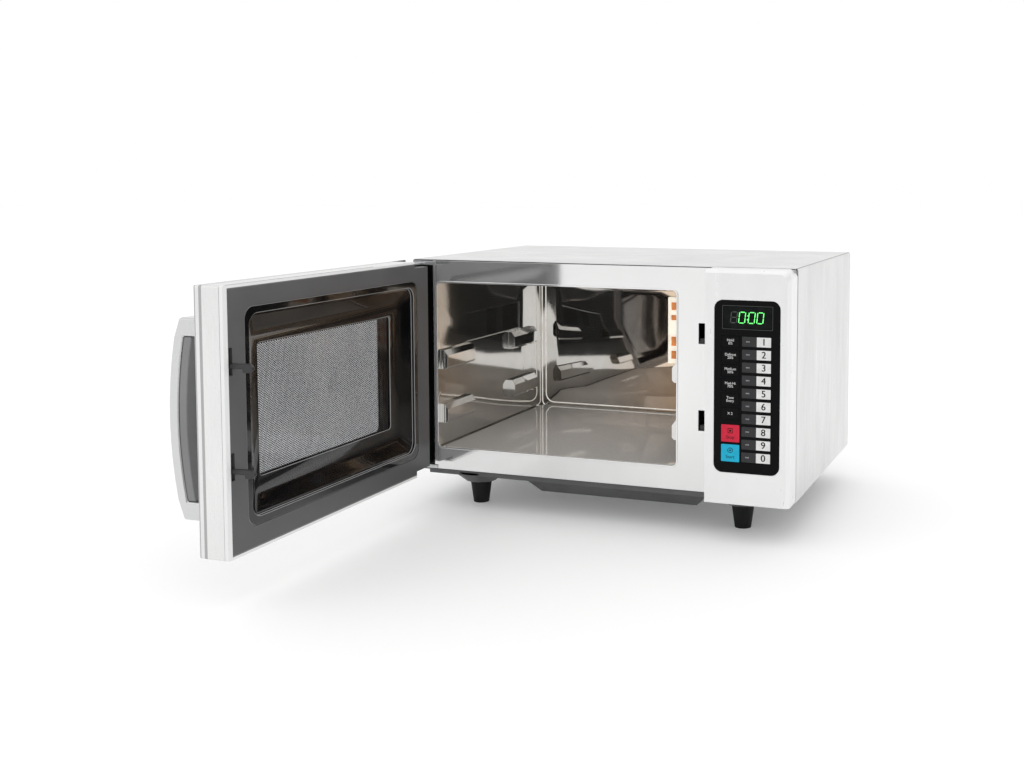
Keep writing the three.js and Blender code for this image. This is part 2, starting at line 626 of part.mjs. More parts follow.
function cavityBackWall() {
  const left = CAVITY_LEFT - BACK_FLANGE;
  const right = CAVITY_RIGHT + BACK_FLANGE;
  const bottom = CAVITY_FLOOR - BACK_FLANGE;
  const top = CAVITY_TOP + BACK_FLANGE;
  const plate = box(left, right, BACK_WALL_FRONT, BACK_WALL_FRONT + SHEET, bottom, top);
  const body = plate.add(backPressing(0));
  const hole = box(LAMP_COVER_LEFT + 5, LAMP_COVER_LEFT + LAMP_COVER_WIDTH - 5, BACK_PRESS_FRONT - 5,
      BACK_WALL_FRONT + 5,
    LAMP_COVER_BOTTOM + 5, LAMP_COVER_BOTTOM + LAMP_COVER_HEIGHT - 5);
  return cut(body, backPressing(SHEET), hole);
}

function backPressing(wall) {
  const margin = BACK_PRESS_MARGIN + wall;
  return taperedSlab(
    CAVITY_LEFT + margin,
    CAVITY_RIGHT - margin,
    CAVITY_FLOOR + margin,
    CAVITY_TOP - margin,
    BACK_PRESS_CORNER,
    BACK_PRESS_FRONT + wall,
    BACK_WALL_FRONT + SHEET + (wall > 0 ? 0.6 : 0),
    BACK_PRESS_SLOPE,
  );
}

function ceramicFloor() {
  const outline = roundedOutline(
    CAVITY_LEFT + CAVITY_CORNER,
    CAVITY_RIGHT - CAVITY_CORNER,
    PLATE_FRONT_Y,
    CAVITY_BACK - 2,
    PLATE_CORNER,
  );
  return alongZ(outline, PLATE_BOTTOM, PLATE_BOTTOM + PLATE_THICKNESS, 5);
}

function lampCover() {
  const back = BACK_PRESS_FRONT - GAP;
  const front = back - LAMP_COVER_THICKNESS;
  const right = LAMP_COVER_LEFT + LAMP_COVER_WIDTH;
  const top = LAMP_COVER_BOTTOM + LAMP_COVER_HEIGHT;
  let body = slab(LAMP_COVER_LEFT, right, LAMP_COVER_BOTTOM, top, 1.5, front, back, 2);
  body = body.subtract(box(LAMP_COVER_LEFT + 2, right - 2, front + 2, back + 1, LAMP_COVER_BOTTOM + 2,
      top - 2));
  for (const [low, high] of [[6.7, 19], [26, 40.3], [64.6, 72.6], [79.6, 91.4]]) {
    body = body.subtract(box(LAMP_COVER_LEFT + 4.6, right - 5, front - 1, front + 4,
        LAMP_COVER_BOTTOM + low, LAMP_COVER_BOTTOM + high));
  }
  return body;
}

function cavityLamp() {
  const x = LAMP_COVER_LEFT + LAMP_COVER_WIDTH / 2;
  const y = BACK_WALL_FRONT + SHEET + LAMP_RADIUS - 2;
  const low = LAMP_COVER_BOTTOM + 12;
  const high = LAMP_COVER_BOTTOM + LAMP_COVER_HEIGHT - 12;
  const tube = rodZ(x, y, low, high, LAMP_RADIUS - 1, LAMP_RADIUS - 1, 16);
  const lowCap = rodZ(x, y, low - 4, low + 6, LAMP_RADIUS, LAMP_RADIUS, 16);
  const highCap = rodZ(x, y, high - 6, high + 4, LAMP_RADIUS, LAMP_RADIUS, 16);
  const wall = BACK_PRESS_FRONT + SHEET + GAP;
  const lowTab = box(x - 9, x + 9, wall, wall + 1.5, low - 17, low - 3);
  const highTab = box(x - 9, x + 9, wall, wall + 1.5, high + 3, high + 17);
  const lowArm = box(x - 4, x + 4, wall, y, low - 5, low + 2);
  const highArm = box(x - 4, x + 4, wall, y, high - 2, high + 5);
  return join(tube, lowCap, highCap, lowTab, highTab, lowArm, highArm);
}

// ---------------------------------------------------------------- microwave feed
const STIR_HUB_BOTTOM = WELL_BOTTOM + 3;
const STIR_PLATE_Z = WELL_BOTTOM + 5;
const GUIDE_HALF = 40;
const GUIDE_LEFT = CAVITY_CENTRE - 43;
const BAY_MID = (CAVITY_RIGHT + INSIDE) / 2;
const MAGNETRON_X = BAY_MID - 8.7;
const MAGNETRON_HALF = 46;
const GUIDE_RIGHT = MAGNETRON_X + MAGNETRON_HALF;
const LAUNCH_RADIUS = 15;
const MOTOR_TOP = GUIDE_BOTTOM - GAP;
const SHAFT_RADIUS = 3.5;

function stirrerAntenna() {
  const radius = Math.min(ANTENNA_RADIUS, ANTENNA_WELL_RADIUS - 6);
  let plate = rodZ(CAVITY_CENTRE, CAVITY_MID_Y, STIR_PLATE_Z, STIR_PLATE_Z + ANTENNA_THICKNESS, radius,
      radius, 36);
  for (let i = 0; i < 3; i += 1) {
    const angle = (i * 2 * Math.PI) / 3;
    const sector = new THREE.Shape();
    sector.absarc(0, 0, radius - 14, angle + 0.35, angle + 1.75, false);
    sector.absarc(0, 0, 26, angle + 1.75, angle + 0.35, true);
    sector.closePath();
    const tool = alongZ(sector, STIR_PLATE_Z - 5, STIR_PLATE_Z + 5, 6);
    plate = plate.subtract(tool.translate([CAVITY_CENTRE, CAVITY_MID_Y, 0]));
  }
  const hub = rodZ(CAVITY_CENTRE, CAVITY_MID_Y, STIR_HUB_BOTTOM, STIR_PLATE_Z + 3, 9, 9, 20);
  const shaft = rodZ(CAVITY_CENTRE, CAVITY_MID_Y, MOTOR_TOP - 7, STIR_HUB_BOTTOM + 1, SHAFT_RADIUS,
      SHAFT_RADIUS, 16);
  return join(plate, hub, shaft);
}

function stirrerMotor() {
  const bottom = BASE_WELL_BOTTOM + BASE_SHEET + 2;
  const can = rodZ(CAVITY_CENTRE, CAVITY_MID_Y, bottom, MOTOR_TOP, 24, 24, 28);
  const ears = box(CAVITY_CENTRE - 33, CAVITY_CENTRE + 33, CAVITY_MID_Y - 6, CAVITY_MID_Y + 6,
      MOTOR_TOP - 1.5, MOTOR_TOP);
  const bore = rodZ(CAVITY_CENTRE, CAVITY_MID_Y, MOTOR_TOP - 8, MOTOR_TOP + 5, SHAFT_RADIUS + 0.4,
      SHAFT_RADIUS + 0.4, 16);
  return cut(join(can, ears), bore);
}

function waveguide() {
  const front = CAVITY_MID_Y - GUIDE_HALF;
  const back = CAVITY_MID_Y + GUIDE_HALF;
  const outer = box(GUIDE_LEFT, GUIDE_RIGHT, front, back, GUIDE_BOTTOM, GUIDE_TOP);
  const inner = box(GUIDE_LEFT + 1, GUIDE_RIGHT - 1, front + 1, back - 1, GUIDE_BOTTOM + 1, GUIDE_TOP - 1);
  const shaftHole = rodZ(CAVITY_CENTRE, CAVITY_MID_Y, GUIDE_BOTTOM - 5, GUIDE_BOTTOM + 5, 6, 6, 16);
  const feedHole = rodZ(CAVITY_CENTRE, CAVITY_MID_Y, GUIDE_TOP - 5, GUIDE_TOP + 5, 14, 14, 20);
  const launchHole = rodZ(MAGNETRON_X, CAVITY_MID_Y, GUIDE_TOP - 5, GUIDE_TOP + 5, LAUNCH_RADIUS,
      LAUNCH_RADIUS, 20);
  return cut(outer, inner, shaftHole, feedHole, launchHole);
}

function magnetron() {
  const x0 = MAGNETRON_X - MAGNETRON_HALF;
  const x1 = MAGNETRON_X + MAGNETRON_HALF;
  const y0 = CAVITY_MID_Y - 40;
  const y1 = CAVITY_MID_Y + 40;
  const z = GUIDE_TOP + GAP;
  let body = box(x0, x1, y0, y1, z, z + 2);
  body = join(body, box(x0, x0 + 2, y0, y1, z, z + 72), box(x1 - 2, x1, y0, y1, z, z + 72),
      box(x0, x1, y0, y1, z + 70, z + 72));
  body = body.add(rodZ(MAGNETRON_X, CAVITY_MID_Y, z, z + 71, 19, 19, 24));
  for (let i = 0; i < 5; i += 1) {
    const finZ = z + 14 + i * 10;
    body = body.add(box(x0 + 1, x1 - 1, y0 + 4, y1 - 4, finZ, finZ + 1));
  }
  body = body.add(box(x0 + 12, x1 - 12, y0 + 6, y1 - 6, z + 71, z + 104));
  body = body.add(box(x1 - 13, x1 - 4, y0 + 26, y1 - 26, z + 78, z + 96));
  return body.add(rodZ(MAGNETRON_X, CAVITY_MID_Y, z - 10, z + 1, 9, 9, 20));
}

// ---------------------------------------------------------------- electrics
const FAN_X = BAY_MID - 0.7;
const FAN_Z = COVER_TOP - 103;
const FAN_RADIUS = 52;
const FAN_PLATE_Y = BACK_INNER_FACE - 43.5;
const GLAND_X = INSIDE - 28.2;
const GLAND_Z = 84;
const GLAND_RADIUS = 8;
const BAY_FLOOR = BASE_PAN_Z + BASE_SHEET + GAP;

function transformer() {
  const x = BAY_MID + 3.3;
  const y = BACK_INNER_FACE - 57.5;
  const base = box(x - 50, x + 50, y - 36, y + 36, BAY_FLOOR, BAY_FLOOR + 2);
  const core = box(x - 42, x + 42, y - 32, y + 32, BAY_FLOOR + 1, BAY_FLOOR + 74);
  const frontWinding = slab(x - 32, x + 32, BAY_FLOOR + 12, BAY_FLOOR + 64, 8, y - 50, y - 31);
  const backWinding = slab(x - 32, x + 32, BAY_FLOOR + 12, BAY_FLOOR + 64, 8, y + 31, y + 48);
  return join(base, core, frontWinding, backWinding);
}

function capacitor() {
  const left = INSIDE - 70.2;
  const outline = roundedOutline(left, left + 50, 50, 84, 16.5);
  const can = alongZ(outline, BAY_FLOOR, BAY_FLOOR + 86, 5);
  const leftTab = box(left + 12, left + 18, 66.4, 67.6, BAY_FLOOR + 85, BAY_FLOOR + 97);
  const rightTab = box(left + 32, left + 38, 66.4, 67.6, BAY_FLOOR + 85, BAY_FLOOR + 97);
  return join(can, leftTab, rightTab);
}

function fanShroud() {
  const half = FAN_RADIUS + 10;
  const back = BACK_INNER_FACE - GAP;
  let body = box(FAN_X - half, FAN_X + half, FAN_PLATE_Y, FAN_PLATE_Y + 2, FAN_Z - half, FAN_Z + half);
  body = body.add(rodY(FAN_X, FAN_Z, FAN_PLATE_Y + 1, back, FAN_RADIUS + 6, 36));
  body = body.subtract(rodY(FAN_X, FAN_Z, FAN_PLATE_Y - 5, back + 5, FAN_RADIUS + 4, 36));
  const armWidth = 5;
  body = body.add(box(FAN_X - half, FAN_X + half, FAN_PLATE_Y - 4, FAN_PLATE_Y + 2, FAN_Z - armWidth,
      FAN_Z + armWidth));
  return body.subtract(rodY(FAN_X, FAN_Z, FAN_PLATE_Y - 10, FAN_PLATE_Y + 10, 3.2, 16));
}

function fanMotor() {
  const front = FAN_PLATE_Y - 4 - GAP;
  const stator = box(FAN_X - 24, FAN_X + 24, front - 22, front, FAN_Z - 24, FAN_Z + 30);
  const coil = box(FAN_X - 16, FAN_X + 16, front - 32, front - 20, FAN_Z + 4, FAN_Z + 28);
  const bore = rodY(FAN_X, FAN_Z, front - 14, front + 5, 2.6, 16);
  return cut(join(stator, coil), bore);
}

function fanBlade() {
  const back = BACK_INNER_FACE - GAP - 4;
  let body = rodY(FAN_X, FAN_Z, FAN_PLATE_Y + 6, back - 4, 13, 24);
  body = body.add(rodY(FAN_X, FAN_Z, FAN_PLATE_Y - 14, FAN_PLATE_Y + 8, 2.2, 12));
  const middle = (FAN_PLATE_Y + 6 + back - 4) / 2;
  for (let i = 0; i < 5; i += 1) {
    const blade = new THREE.BoxGeometry(FAN_RADIUS - 10, 1.6, 26);
    blade.translate(10 + (FAN_RADIUS - 10) / 2, 0, 0);
    blade.rotateX(Math.PI / 5);
    blade.rotateY((i * 2 * Math.PI) / 5);
    blade.translate(FAN_X, middle, FAN_Z);
    body = body.add(solid(blade));
  }
  return body;
}

function filterBoard() {
  const z = COVER_TOP - 52;
  const left = CAVITY_RIGHT + SHEET + GAP;
  const board = box(left + 2, left + 112, 70, 150, z, z + 1.6);
  const bracket = box(left, left + 2.5, 70, 150, z - 12, z + 8);
  const choke = rodZ(left + 42, 110, z + 1, z + 22, 14, 14, 20);
  const fuse = rodX(84, z + 6, left + 60, left + 92, 4, 12);
  const fuseBase = box(left + 60, left + 92, 81, 87, z + 1, z + 5);
  const block = box(left + 76, left + 104, 108, 140, z + 1, z + 18);
  return join(board, bracket, choke, fuse, fuseBase, block);
}

function cableGland() {
  const outer = BACK_FACE + GAP;
  const inner = BACK_INNER_FACE - GAP;
  const points = [
    [3.6, outer + 9], [9, outer + 9], [13, outer + 3], [13, outer], [GLAND_RADIUS, outer],
    [GLAND_RADIUS, inner], [12, inner], [12, inner - 4], [3.6, inner - 4],
  ];
  points.push(points[0]);
  const profile = points.reverse().map(([r, y]) => new THREE.Vector2(r, y));
  const geometry = new THREE.LatheGeometry(profile, 18);
  geometry.translate(GLAND_X, 0, GLAND_Z);
  return solid(geometry);
}

// ---------------------------------------------------------------- interlock behind the latch slots
function latchBracket() {
  const left = LATCH_X - 9;
  const right = LATCH_X + 9;
  const front = FRONT_SHEET + GAP;
  const low = LATCH_LOWER_Z - 18;
  const high = LATCH_UPPER_Z + 28;
  let body = box(left, right + 3, front, front + 2, low, high);
  body = body.add(box(right, right + 3, front, front + 40, low, high));
  for (const hookZ of [LATCH_UPPER_Z, LATCH_LOWER_Z]) {
    body = body.subtract(box(LATCH_X - 6, LATCH_X + 6, front - 5, front + 3, hookZ - 7, hookZ + 18));
    const shelfTop = hookZ - LATCH_DROP - 1.2;
    body = body.add(box(LATCH_X - 5, right + 1, front + 1, front + 34, shelfTop - 2, shelfTop));
    body = body.add(box(LATCH_X - 5, right + 1, front + 1, front + 9, shelfTop - 2, hookZ - 0.6));
  }
  return body;
}

function interlockSwitch(hookZ) {
  const left = LATCH_X + 12 + GAP;
  const caseBox = box(left, left + 10, 14, 42, hookZ - 16, hookZ - 1);
  const terminal = box(left + 4, left + 6, 18, 22, hookZ - 24, hookZ - 15);
  const terminal2 = box(left + 4, left + 6, 32, 36, hookZ - 24, hookZ - 15);
  return join(caseBox, terminal, terminal2);
}

// ---------------------------------------------------------------- control panel
function panelHousing() {
  const left = PANEL_LEFT;
  const right = PANEL_RIGHT;
  const back = -GAP;
  const wall = PANEL_WALL;
  const shoulder = PANEL_FACE + PANEL_CHAMFER;
  let body = panelBlock(left, right, PANEL_BOTTOM, PANEL_TOP, shoulder, back, 0);
  body = body.add(panelBlock(left, right, PANEL_BOTTOM, PANEL_TOP, PANEL_FACE, shoulder + 0.01,
      PANEL_CHAMFER));
  const inner = box(left + wall, right - wall - 2, PANEL_FACE + wall + 2, back + 5, PANEL_BOTTOM + wall,
      PANEL_TOP - wall - 6);
  body = body.subtract(inner);
  const g = KEY_GAP;
  body = body.subtract(slab(OVERLAY_LEFT - g, OVERLAY_LEFT + OVERLAY_WIDTH + g, OVERLAY_BOTTOM - g,
    OVERLAY_BOTTOM + OVERLAY_HEIGHT + g, OVERLAY_CORNER + g, PANEL_FACE - 3, overlayBack() + g, 6));
  return body.subtract(box(OVERLAY_LEFT + 6, OVERLAY_LEFT + OVERLAY_WIDTH - 6, PANEL_FACE, PANEL_FACE + 12,
    OVERLAY_BOTTOM + 6, OVERLAY_BOTTOM + OVERLAY_HEIGHT - 4));
}

// The housing outline: square on the door side, rounded at the outer upper corner.
// chamfer is how far the front end is drawn in at the top and on the right.
function panelBlock(left, right, bottom, top, y0, y1, chamfer) {
  const r = PANEL_CORNER;
  const shape = new THREE.Shape();
  shape.moveTo(left, bottom);
  shape.lineTo(right, bottom);
  shape.lineTo(right, top - r);
  shape.absarc(right - r, top - r, r, 0, Math.PI / 2, false);
  shape.lineTo(left, top);
  shape.closePath();
  const settings = { depth: y1 - y0, bevelEnabled: false, curveSegments: 6 };
  const geometry = new THREE.ExtrudeGeometry(shape, settings);
  geometry.rotateX(Math.PI / 2);
  geometry.translate(0, y1, 0);
  const position = geometry.attributes.position;
  const scaleX = (right - left - chamfer) / (right - left);
  const scaleZ = (top - bottom - chamfer) / (top - bottom);
  for (let i = 0; i < position.count; i += 1) {
    if (position.getY(i) < (y0 + y1) / 2) {
      position.setX(i, left + (position.getX(i) - left) * scaleX);
      position.setZ(i, bottom + (position.getZ(i) - bottom) * scaleZ);
    }
  }
  return solid(geometry);
}

function overlayFront() {
  return PANEL_FACE - OVERLAY_PROUD;
}

function overlayBack() {
  return overlayFront() + OVERLAY_THICKNESS;
}

function keyList() {
  const keys = [];
  const numbers = ['1', '2', '3', '4', '5', '6', '7', '8', '9', '0'];
  numbers.forEach((label, row) => {
    const z = NUMBER_KEY_TOP_Z - row * NUMBER_KEY_PITCH;
    keys.push({ name: `key_${label}`, x: NUMBER_KEY_LEFT, z, width: NUMBER_KEY_WIDTH,
        height: NUMBER_KEY_HEIGHT, material: materials.keyDark });
  });
  const modes = ['hold', 'defrost', 'medium', 'medium_high', 'time_entry', 'double'];
  modes.forEach((label, row) => {
    const z = MODE_KEY_TOP_Z - row * MODE_KEY_PITCH;
    keys.push({ name: `key_${label}`, x: MODE_KEY_LEFT, z, width: MODE_KEY_WIDTH, height: MODE_KEY_HEIGHT,
        material: materials.blackGloss });
  });
  keys.push({ name: 'key_stop', x: MODE_KEY_LEFT, z: STOP_KEY_Z, width: ACTION_KEY_WIDTH,
      height: ACTION_KEY_HEIGHT, material: materials.keyRed });
  keys.push({ name: 'key_start', x: MODE_KEY_LEFT, z: START_KEY_Z, width: ACTION_KEY_WIDTH,
      height: ACTION_KEY_HEIGHT, material: materials.keyCyan });
  return keys;
}

function keypadOverlay() {
  let body = slab(OVERLAY_LEFT, OVERLAY_LEFT + OVERLAY_WIDTH, OVERLAY_BOTTOM,
      OVERLAY_BOTTOM + OVERLAY_HEIGHT,
    OVERLAY_CORNER, overlayFront(), overlayBack(), 6);
  for (const key of keyList()) {
    const g = KEY_GAP;
    body = body.subtract(box(key.x - g, key.x + key.width + g, overlayFront() - 3, overlayBack() + 3,
      key.z - key.height / 2 - g, key.z + key.height / 2 + g));
  }
  return body.subtract(box(DISPLAY_LEFT - GAP, DISPLAY_LEFT + DISPLAY_WIDTH + GAP, overlayFront() - 3,
      overlayBack() + 3,
    DISPLAY_BOTTOM - GAP, DISPLAY_BOTTOM + DISPLAY_HEIGHT + GAP));
}

function keyPad(key) {
  const front = PANEL_FACE - KEY_PROUD;
  return slab(key.x, key.x + key.width, key.z - key.height / 2, key.z + key.height / 2, 0.8, front,
      front + KEY_THICKNESS, 1);
}

function displayWindow() {
  const front = overlayFront() + 0.2;
  return slab(DISPLAY_LEFT, DISPLAY_LEFT + DISPLAY_WIDTH, DISPLAY_BOTTOM, DISPLAY_BOTTOM + DISPLAY_HEIGHT,
      0.6, front, front + 1, 1);
}

function boardFront() {
  return PANEL_FACE + 9;
}

function controlBoard() {
  const front = boardFront();
  const left = PANEL_LEFT + PANEL_WALL + 3;
  const board = box(left, PANEL_RIGHT - PANEL_WALL - 6, front, front + 1.6, OVERLAY_BOTTOM + 2,
      OVERLAY_BOTTOM + OVERLAY_HEIGHT - 1);
  const supply = box(left + 10, left + 42, front + 1, front + 22, OVERLAY_BOTTOM + 12, OVERLAY_BOTTOM + 44);
  const relay = box(left + 54, left + 74, front + 1, front + 18, OVERLAY_BOTTOM + 14, OVERLAY_BOTTOM + 42);
  const plug = box(left + 18, left + 60, front + 1, front + 10, OVERLAY_BOTTOM + 120, OVERLAY_BOTTOM + 128);
  const display = box(DISPLAY_LEFT + 3, DISPLAY_LEFT + DISPLAY_WIDTH - 3, PANEL_FACE + 2, front + 1,
    DISPLAY_BOTTOM + 1, DISPLAY_BOTTOM + DISPLAY_HEIGHT - 3);
  let body = join(board, supply, relay, plug, display);
  const postFront = PANEL_FACE + PANEL_WALL + 2 + GAP;
  for (const x of [left + 3, PANEL_RIGHT - PANEL_WALL - 9]) {
    for (const z of [OVERLAY_BOTTOM + 8, OVERLAY_TOP - 8]) {
      body = body.add(rodY(x, z, postFront, front + 0.5, 2.2, 12));
    }
  }
  return body;
}

// ---------------------------------------------------------------- hinges
function hingeBracket(isUpper) {
  const flip = isUpper ? 1 : -1;
  const edge = isUpper ? DOOR_TOP : DOOR_BOTTOM;
  const armZ = edge - flip * 4;
  const armLow = Math.min(armZ, armZ - flip * HINGE_ARM_THICKNESS);
  const leafLow = isUpper ? edge - 6.6 : Math.max(edge + 0.2, FRONT_BOTTOM + 0.4);
  const leafHigh = isUpper ? Math.min(edge - 0.4, FRONT_TOP - 0.4) : edge + 6.6;
  const leaf = box(HINGE_X - 7, HINGE_X + 24, -GAP - 1.6, -GAP, leafLow, leafHigh);
  const armOutline = new THREE.Shape();
  armOutline.moveTo(HINGE_X - 5.5, -GAP);
  armOutline.lineTo(HINGE_X - 5.5, HINGE_Y);
  armOutline.absarc(HINGE_X, HINGE_Y, 5.5, Math.PI, 2 * Math.PI, false);
  armOutline.lineTo(HINGE_X + 9, -GAP);
  armOutline.closePath();
  const arm = alongZ(armOutline, armLow, armLow + HINGE_ARM_THICKNESS, 6);
  const pinEnd = armZ - flip * (HINGE_ARM_THICKNESS + 14);
  const pin = rodZ(HINGE_X, HINGE_Y, Math.min(armZ - flip, pinEnd), Math.max(armZ - flip, pinEnd),
      HINGE_PIN_RADIUS, HINGE_PIN_RADIUS, 20);
  return join(leaf, arm, pin);
}

// ---------------------------------------------------------------- door, drawn shut
function notchTools(y0, y1) {
  return [
    box(DOOR_LEFT - 5, DOOR_LEFT + HINGE_NOTCH_WIDTH, y0, y1, NOTCH_TOP, DOOR_TOP + 5),
    box(DOOR_LEFT - 5, DOOR_LEFT + HINGE_NOTCH_WIDTH, y0, y1, DOOR_BOTTOM - 5, NOTCH_BOTTOM),
  ];
}

function doorSkin() {
  const back = INNER_PANEL_BACK - GAP;
  const t = DOOR_SHEET;
  const outer = slab(DOOR_LEFT, DOOR_RIGHT, DOOR_BOTTOM, DOOR_TOP, DOOR_EDGE_BEND, DOOR_OUTER, back, 3);
  const inner = slab(DOOR_LEFT + t, DOOR_RIGHT - t, DOOR_BOTTOM + t, DOOR_TOP - t, DOOR_EDGE_BEND - t,
      DOOR_OUTER + t, back + 5, 3);
  const opening = slab(WINDOW_LEFT - 4, WINDOW_RIGHT + 4, WINDOW_BOTTOM - 5, WINDOW_TOP + 5, 6,
      DOOR_OUTER - 5, DOOR_OUTER + 5, 4);
  return cut(outer, inner, opening, ...notchTools(DOOR_OUTER + t + 0.5, 5));
}

function doorInnerPanel() {
  const clear = GAP;
  let body = slab(DOOR_LEFT, DOOR_RIGHT, DOOR_BOTTOM, DOOR_TOP, DOOR_EDGE_BEND, INNER_PANEL_BACK,
      DOOR_INNER, 3);
  const ringLeft = CHOKE_LEFT - 3.2;
  const ringRight = CHOKE_RIGHT + 3.2;
  const ringBottom = CHOKE_BOTTOM - 3.2;
  const ringTop = CHOKE_TOP + 3.2;
  body = body.add(slab(ringLeft, ringRight, ringBottom, ringTop, CHOKE_CORNER + 3.2, CHOKE_FLOOR - 4,
      INNER_PANEL_BACK + 1, 5));
  body = body.subtract(slab(CHOKE_LEFT, CHOKE_RIGHT, CHOKE_BOTTOM, CHOKE_TOP, CHOKE_CORNER,
      CHOKE_FLOOR - 10, DOOR_INNER + 5, 5));
  for (const z of [NOTCH_TOP, NOTCH_BOTTOM]) {
    const low = z === NOTCH_TOP ? NOTCH_TOP - 16 : NOTCH_BOTTOM;
    body = body.add(box(HINGE_X - 7, HINGE_X + 9, HINGE_Y - 7, INNER_PANEL_BACK + 1, low, low + 16));
  }
  for (const tool of notchTools(DOOR_OUTER - 5, 5)) body = body.subtract(tool);
  body = body.subtract(rodZ(HINGE_X, HINGE_Y, NOTCH_TOP - 20, NOTCH_TOP + 5, HINGE_PIN_RADIUS + 0.4,
      HINGE_PIN_RADIUS + 0.4, 20));
  body = body.subtract(rodZ(HINGE_X, HINGE_Y, NOTCH_BOTTOM - 5, NOTCH_BOTTOM + 20, HINGE_PIN_RADIUS + 0.4,
      HINGE_PIN_RADIUS + 0.4, 20));
  const corner = outlineOf([[DOOR_LEFT - 1, DOOR_INNER - 3.2], [DOOR_LEFT + 3.2, DOOR_INNER + 1],
      [DOOR_LEFT - 1, DOOR_INNER + 1]]);
  body = body.subtract(alongZ(corner, DOOR_BOTTOM - 5, DOOR_TOP + 5));
  for (const hookZ of [LATCH_UPPER_Z, LATCH_LOWER_Z]) {
    const half = LATCH_THICKNESS / 2 + 0.6;
    const slotLow = hookZ - LATCH_DROP - 1;
    const slotHigh = hookZ + HOOK_HEIGHT + LATCH_LIFT + 6;
    body = body.subtract(box(LATCH_X - half, LATCH_X + half, INNER_PANEL_BACK - 5, 5, slotLow, slotHigh));
  }
  return body.add(latchGuides()).add(springSeat());
}

// Two cheeks that keep the lever upright while it slides.
function latchGuides() {
  const inner = LATCH_THICKNESS / 2 + GAP;
  const low = DOOR_MID_Z - 12;
  const high = DOOR_MID_Z + 12;
  const left = box(LATCH_X - inner - 2.5, LATCH_X - inner, DOOR_INNER - 18, INNER_PANEL_BACK + 1, low,
      high);
  const right = box(LATCH_X + inner, LATCH_X + inner + 2.5, DOOR_INNER - 18, INNER_PANEL_BACK + 1, low,
      high);
  return left.add(right);
}

function springTop() {
  return LATCH_LOWER_Z - 8 - LATCH_DROP - 1.5;
}

function springSeat() {
  const top = springTop() - SPRING_LENGTH - SPRING_WIRE - GAP;
  const shelf = box(LATCH_X - 5, LATCH_X + 5, DOOR_INNER - 19, INNER_PANEL_BACK + 1, top - 2, top);
  const spigot = rodZ(LATCH_X, DOOR_INNER - 14, top - 1, top + 6, SPRING_RADIUS - SPRING_WIRE - GAP,
    SPRING_RADIUS - SPRING_WIRE - GAP, 12);
  return shelf.add(spigot);
}

function chokeCover() {
  const g = GAP;
  const left = CHOKE_LEFT + g;
  const right = CHOKE_RIGHT - g;
  const bottom = CHOKE_BOTTOM + g;
  const top = CHOKE_TOP - g;
  const front = DOOR_INNER - 0.6;
  const body = slab(left, right, bottom, top, CHOKE_CORNER - g, CHOKE_FLOOR - 1.6, front, 5);
  const b = CHOKE_BAND;
  const step = slab(left + b, right - b, bottom + b, top - b, CHOKE_CORNER - g, front - 4, front + 5, 5);
  const slope = taperedSlab(left + b + 3, right - b - 3, bottom + b + 3, top - b - 3, CHOKE_CORNER - 2,
    CHOKE_FLOOR - 0.1, front - 3.9, 14);
  const opening = slab(WINDOW_LEFT, WINDOW_RIGHT, WINDOW_BOTTOM, WINDOW_TOP, 4, CHOKE_FLOOR - 10,
      DOOR_INNER + 5, 3);
  return cut(body, step, slope, opening);
}

function doorScreen() {
  const m = SCREEN_MARGIN;
  const back = CHOKE_FLOOR - 1.6 - GAP;
  return box(WINDOW_LEFT - m, WINDOW_RIGHT + m, back - SHEET, back, WINDOW_BOTTOM - m, WINDOW_TOP + m);
}

function doorWindow() {
  const m = GLASS_MARGIN;
  const front = DOOR_OUTER + DOOR_SHEET + GAP;
  return box(WINDOW_LEFT - m, WINDOW_RIGHT + m, front, front + GLASS_THICKNESS, WINDOW_BOTTOM - m,
      WINDOW_TOP + m);
}

// Side view of one latch hook, drawn in Y and Z. The barb points down behind the catch.
function hookOutline(z) {
  const tip = DOOR_INNER + LATCH_REACH;
  return outlineOf([
    [DOOR_INNER - 11, z + LATCH_DROP], [tip - 12, z + LATCH_DROP + 0.6], [tip - 11, z], [tip - 4, z], [tip,
        z + 3.5],
    [tip, z + HOOK_HEIGHT - 3], [tip - 3, z + HOOK_HEIGHT], [tip - 9, z + HOOK_HEIGHT], [DOOR_INNER - 11,
        z + HOOK_HEIGHT - 1],
  ]);
}

function latchLever() {
  const x0 = LATCH_X - LATCH_THICKNESS / 2;
  const x1 = LATCH_X + LATCH_THICKNESS / 2;
  const bar = box(x0, x1, DOOR_INNER - 19, DOOR_INNER - 9, LATCH_LOWER_Z - 8,
      LATCH_UPPER_Z + HOOK_HEIGHT + 6);
  const lug = box(x0, x1, DOOR_INNER - 24, DOOR_INNER - 18, LATCH_LOWER_Z + 30, LATCH_LOWER_Z + 38);
  return join(alongX(hookOutline(LATCH_UPPER_Z), x0, x1), alongX(hookOutline(LATCH_LOWER_Z), x0, x1), bar,
      lug);
}

class CoilCurve extends THREE.Curve {
  constructor(x, y, z0, z1, radius, turns) {
    super();
    Object.assign(this, { x, y, z0, z1, radius, turns });
  }

  getPoint(t, target = new THREE.Vector3()) {
    const angle = t * this.turns * 2 * Math.PI;
    const x = this.x + this.radius * Math.cos(angle);
    const y = this.y + this.radius * Math.sin(angle);
    return target.set(x, y, this.z0 + (this.z1 - this.z0) * t);
  }
}

function latchSpring() {
  const top = springTop();
  const path = new CoilCurve(LATCH_X, DOOR_INNER - 14, top - SPRING_LENGTH, top, SPRING_RADIUS, 5);
  const wire = new THREE.Shape();
  wire.absarc(0, 0, SPRING_WIRE, 0, 2 * Math.PI, false);
  const geometry = new THREE.ExtrudeGeometry(wire, { steps: 40, extrudePath: path, curveSegments: 3,
      bevelEnabled: false });
  return solid(geometry);
}

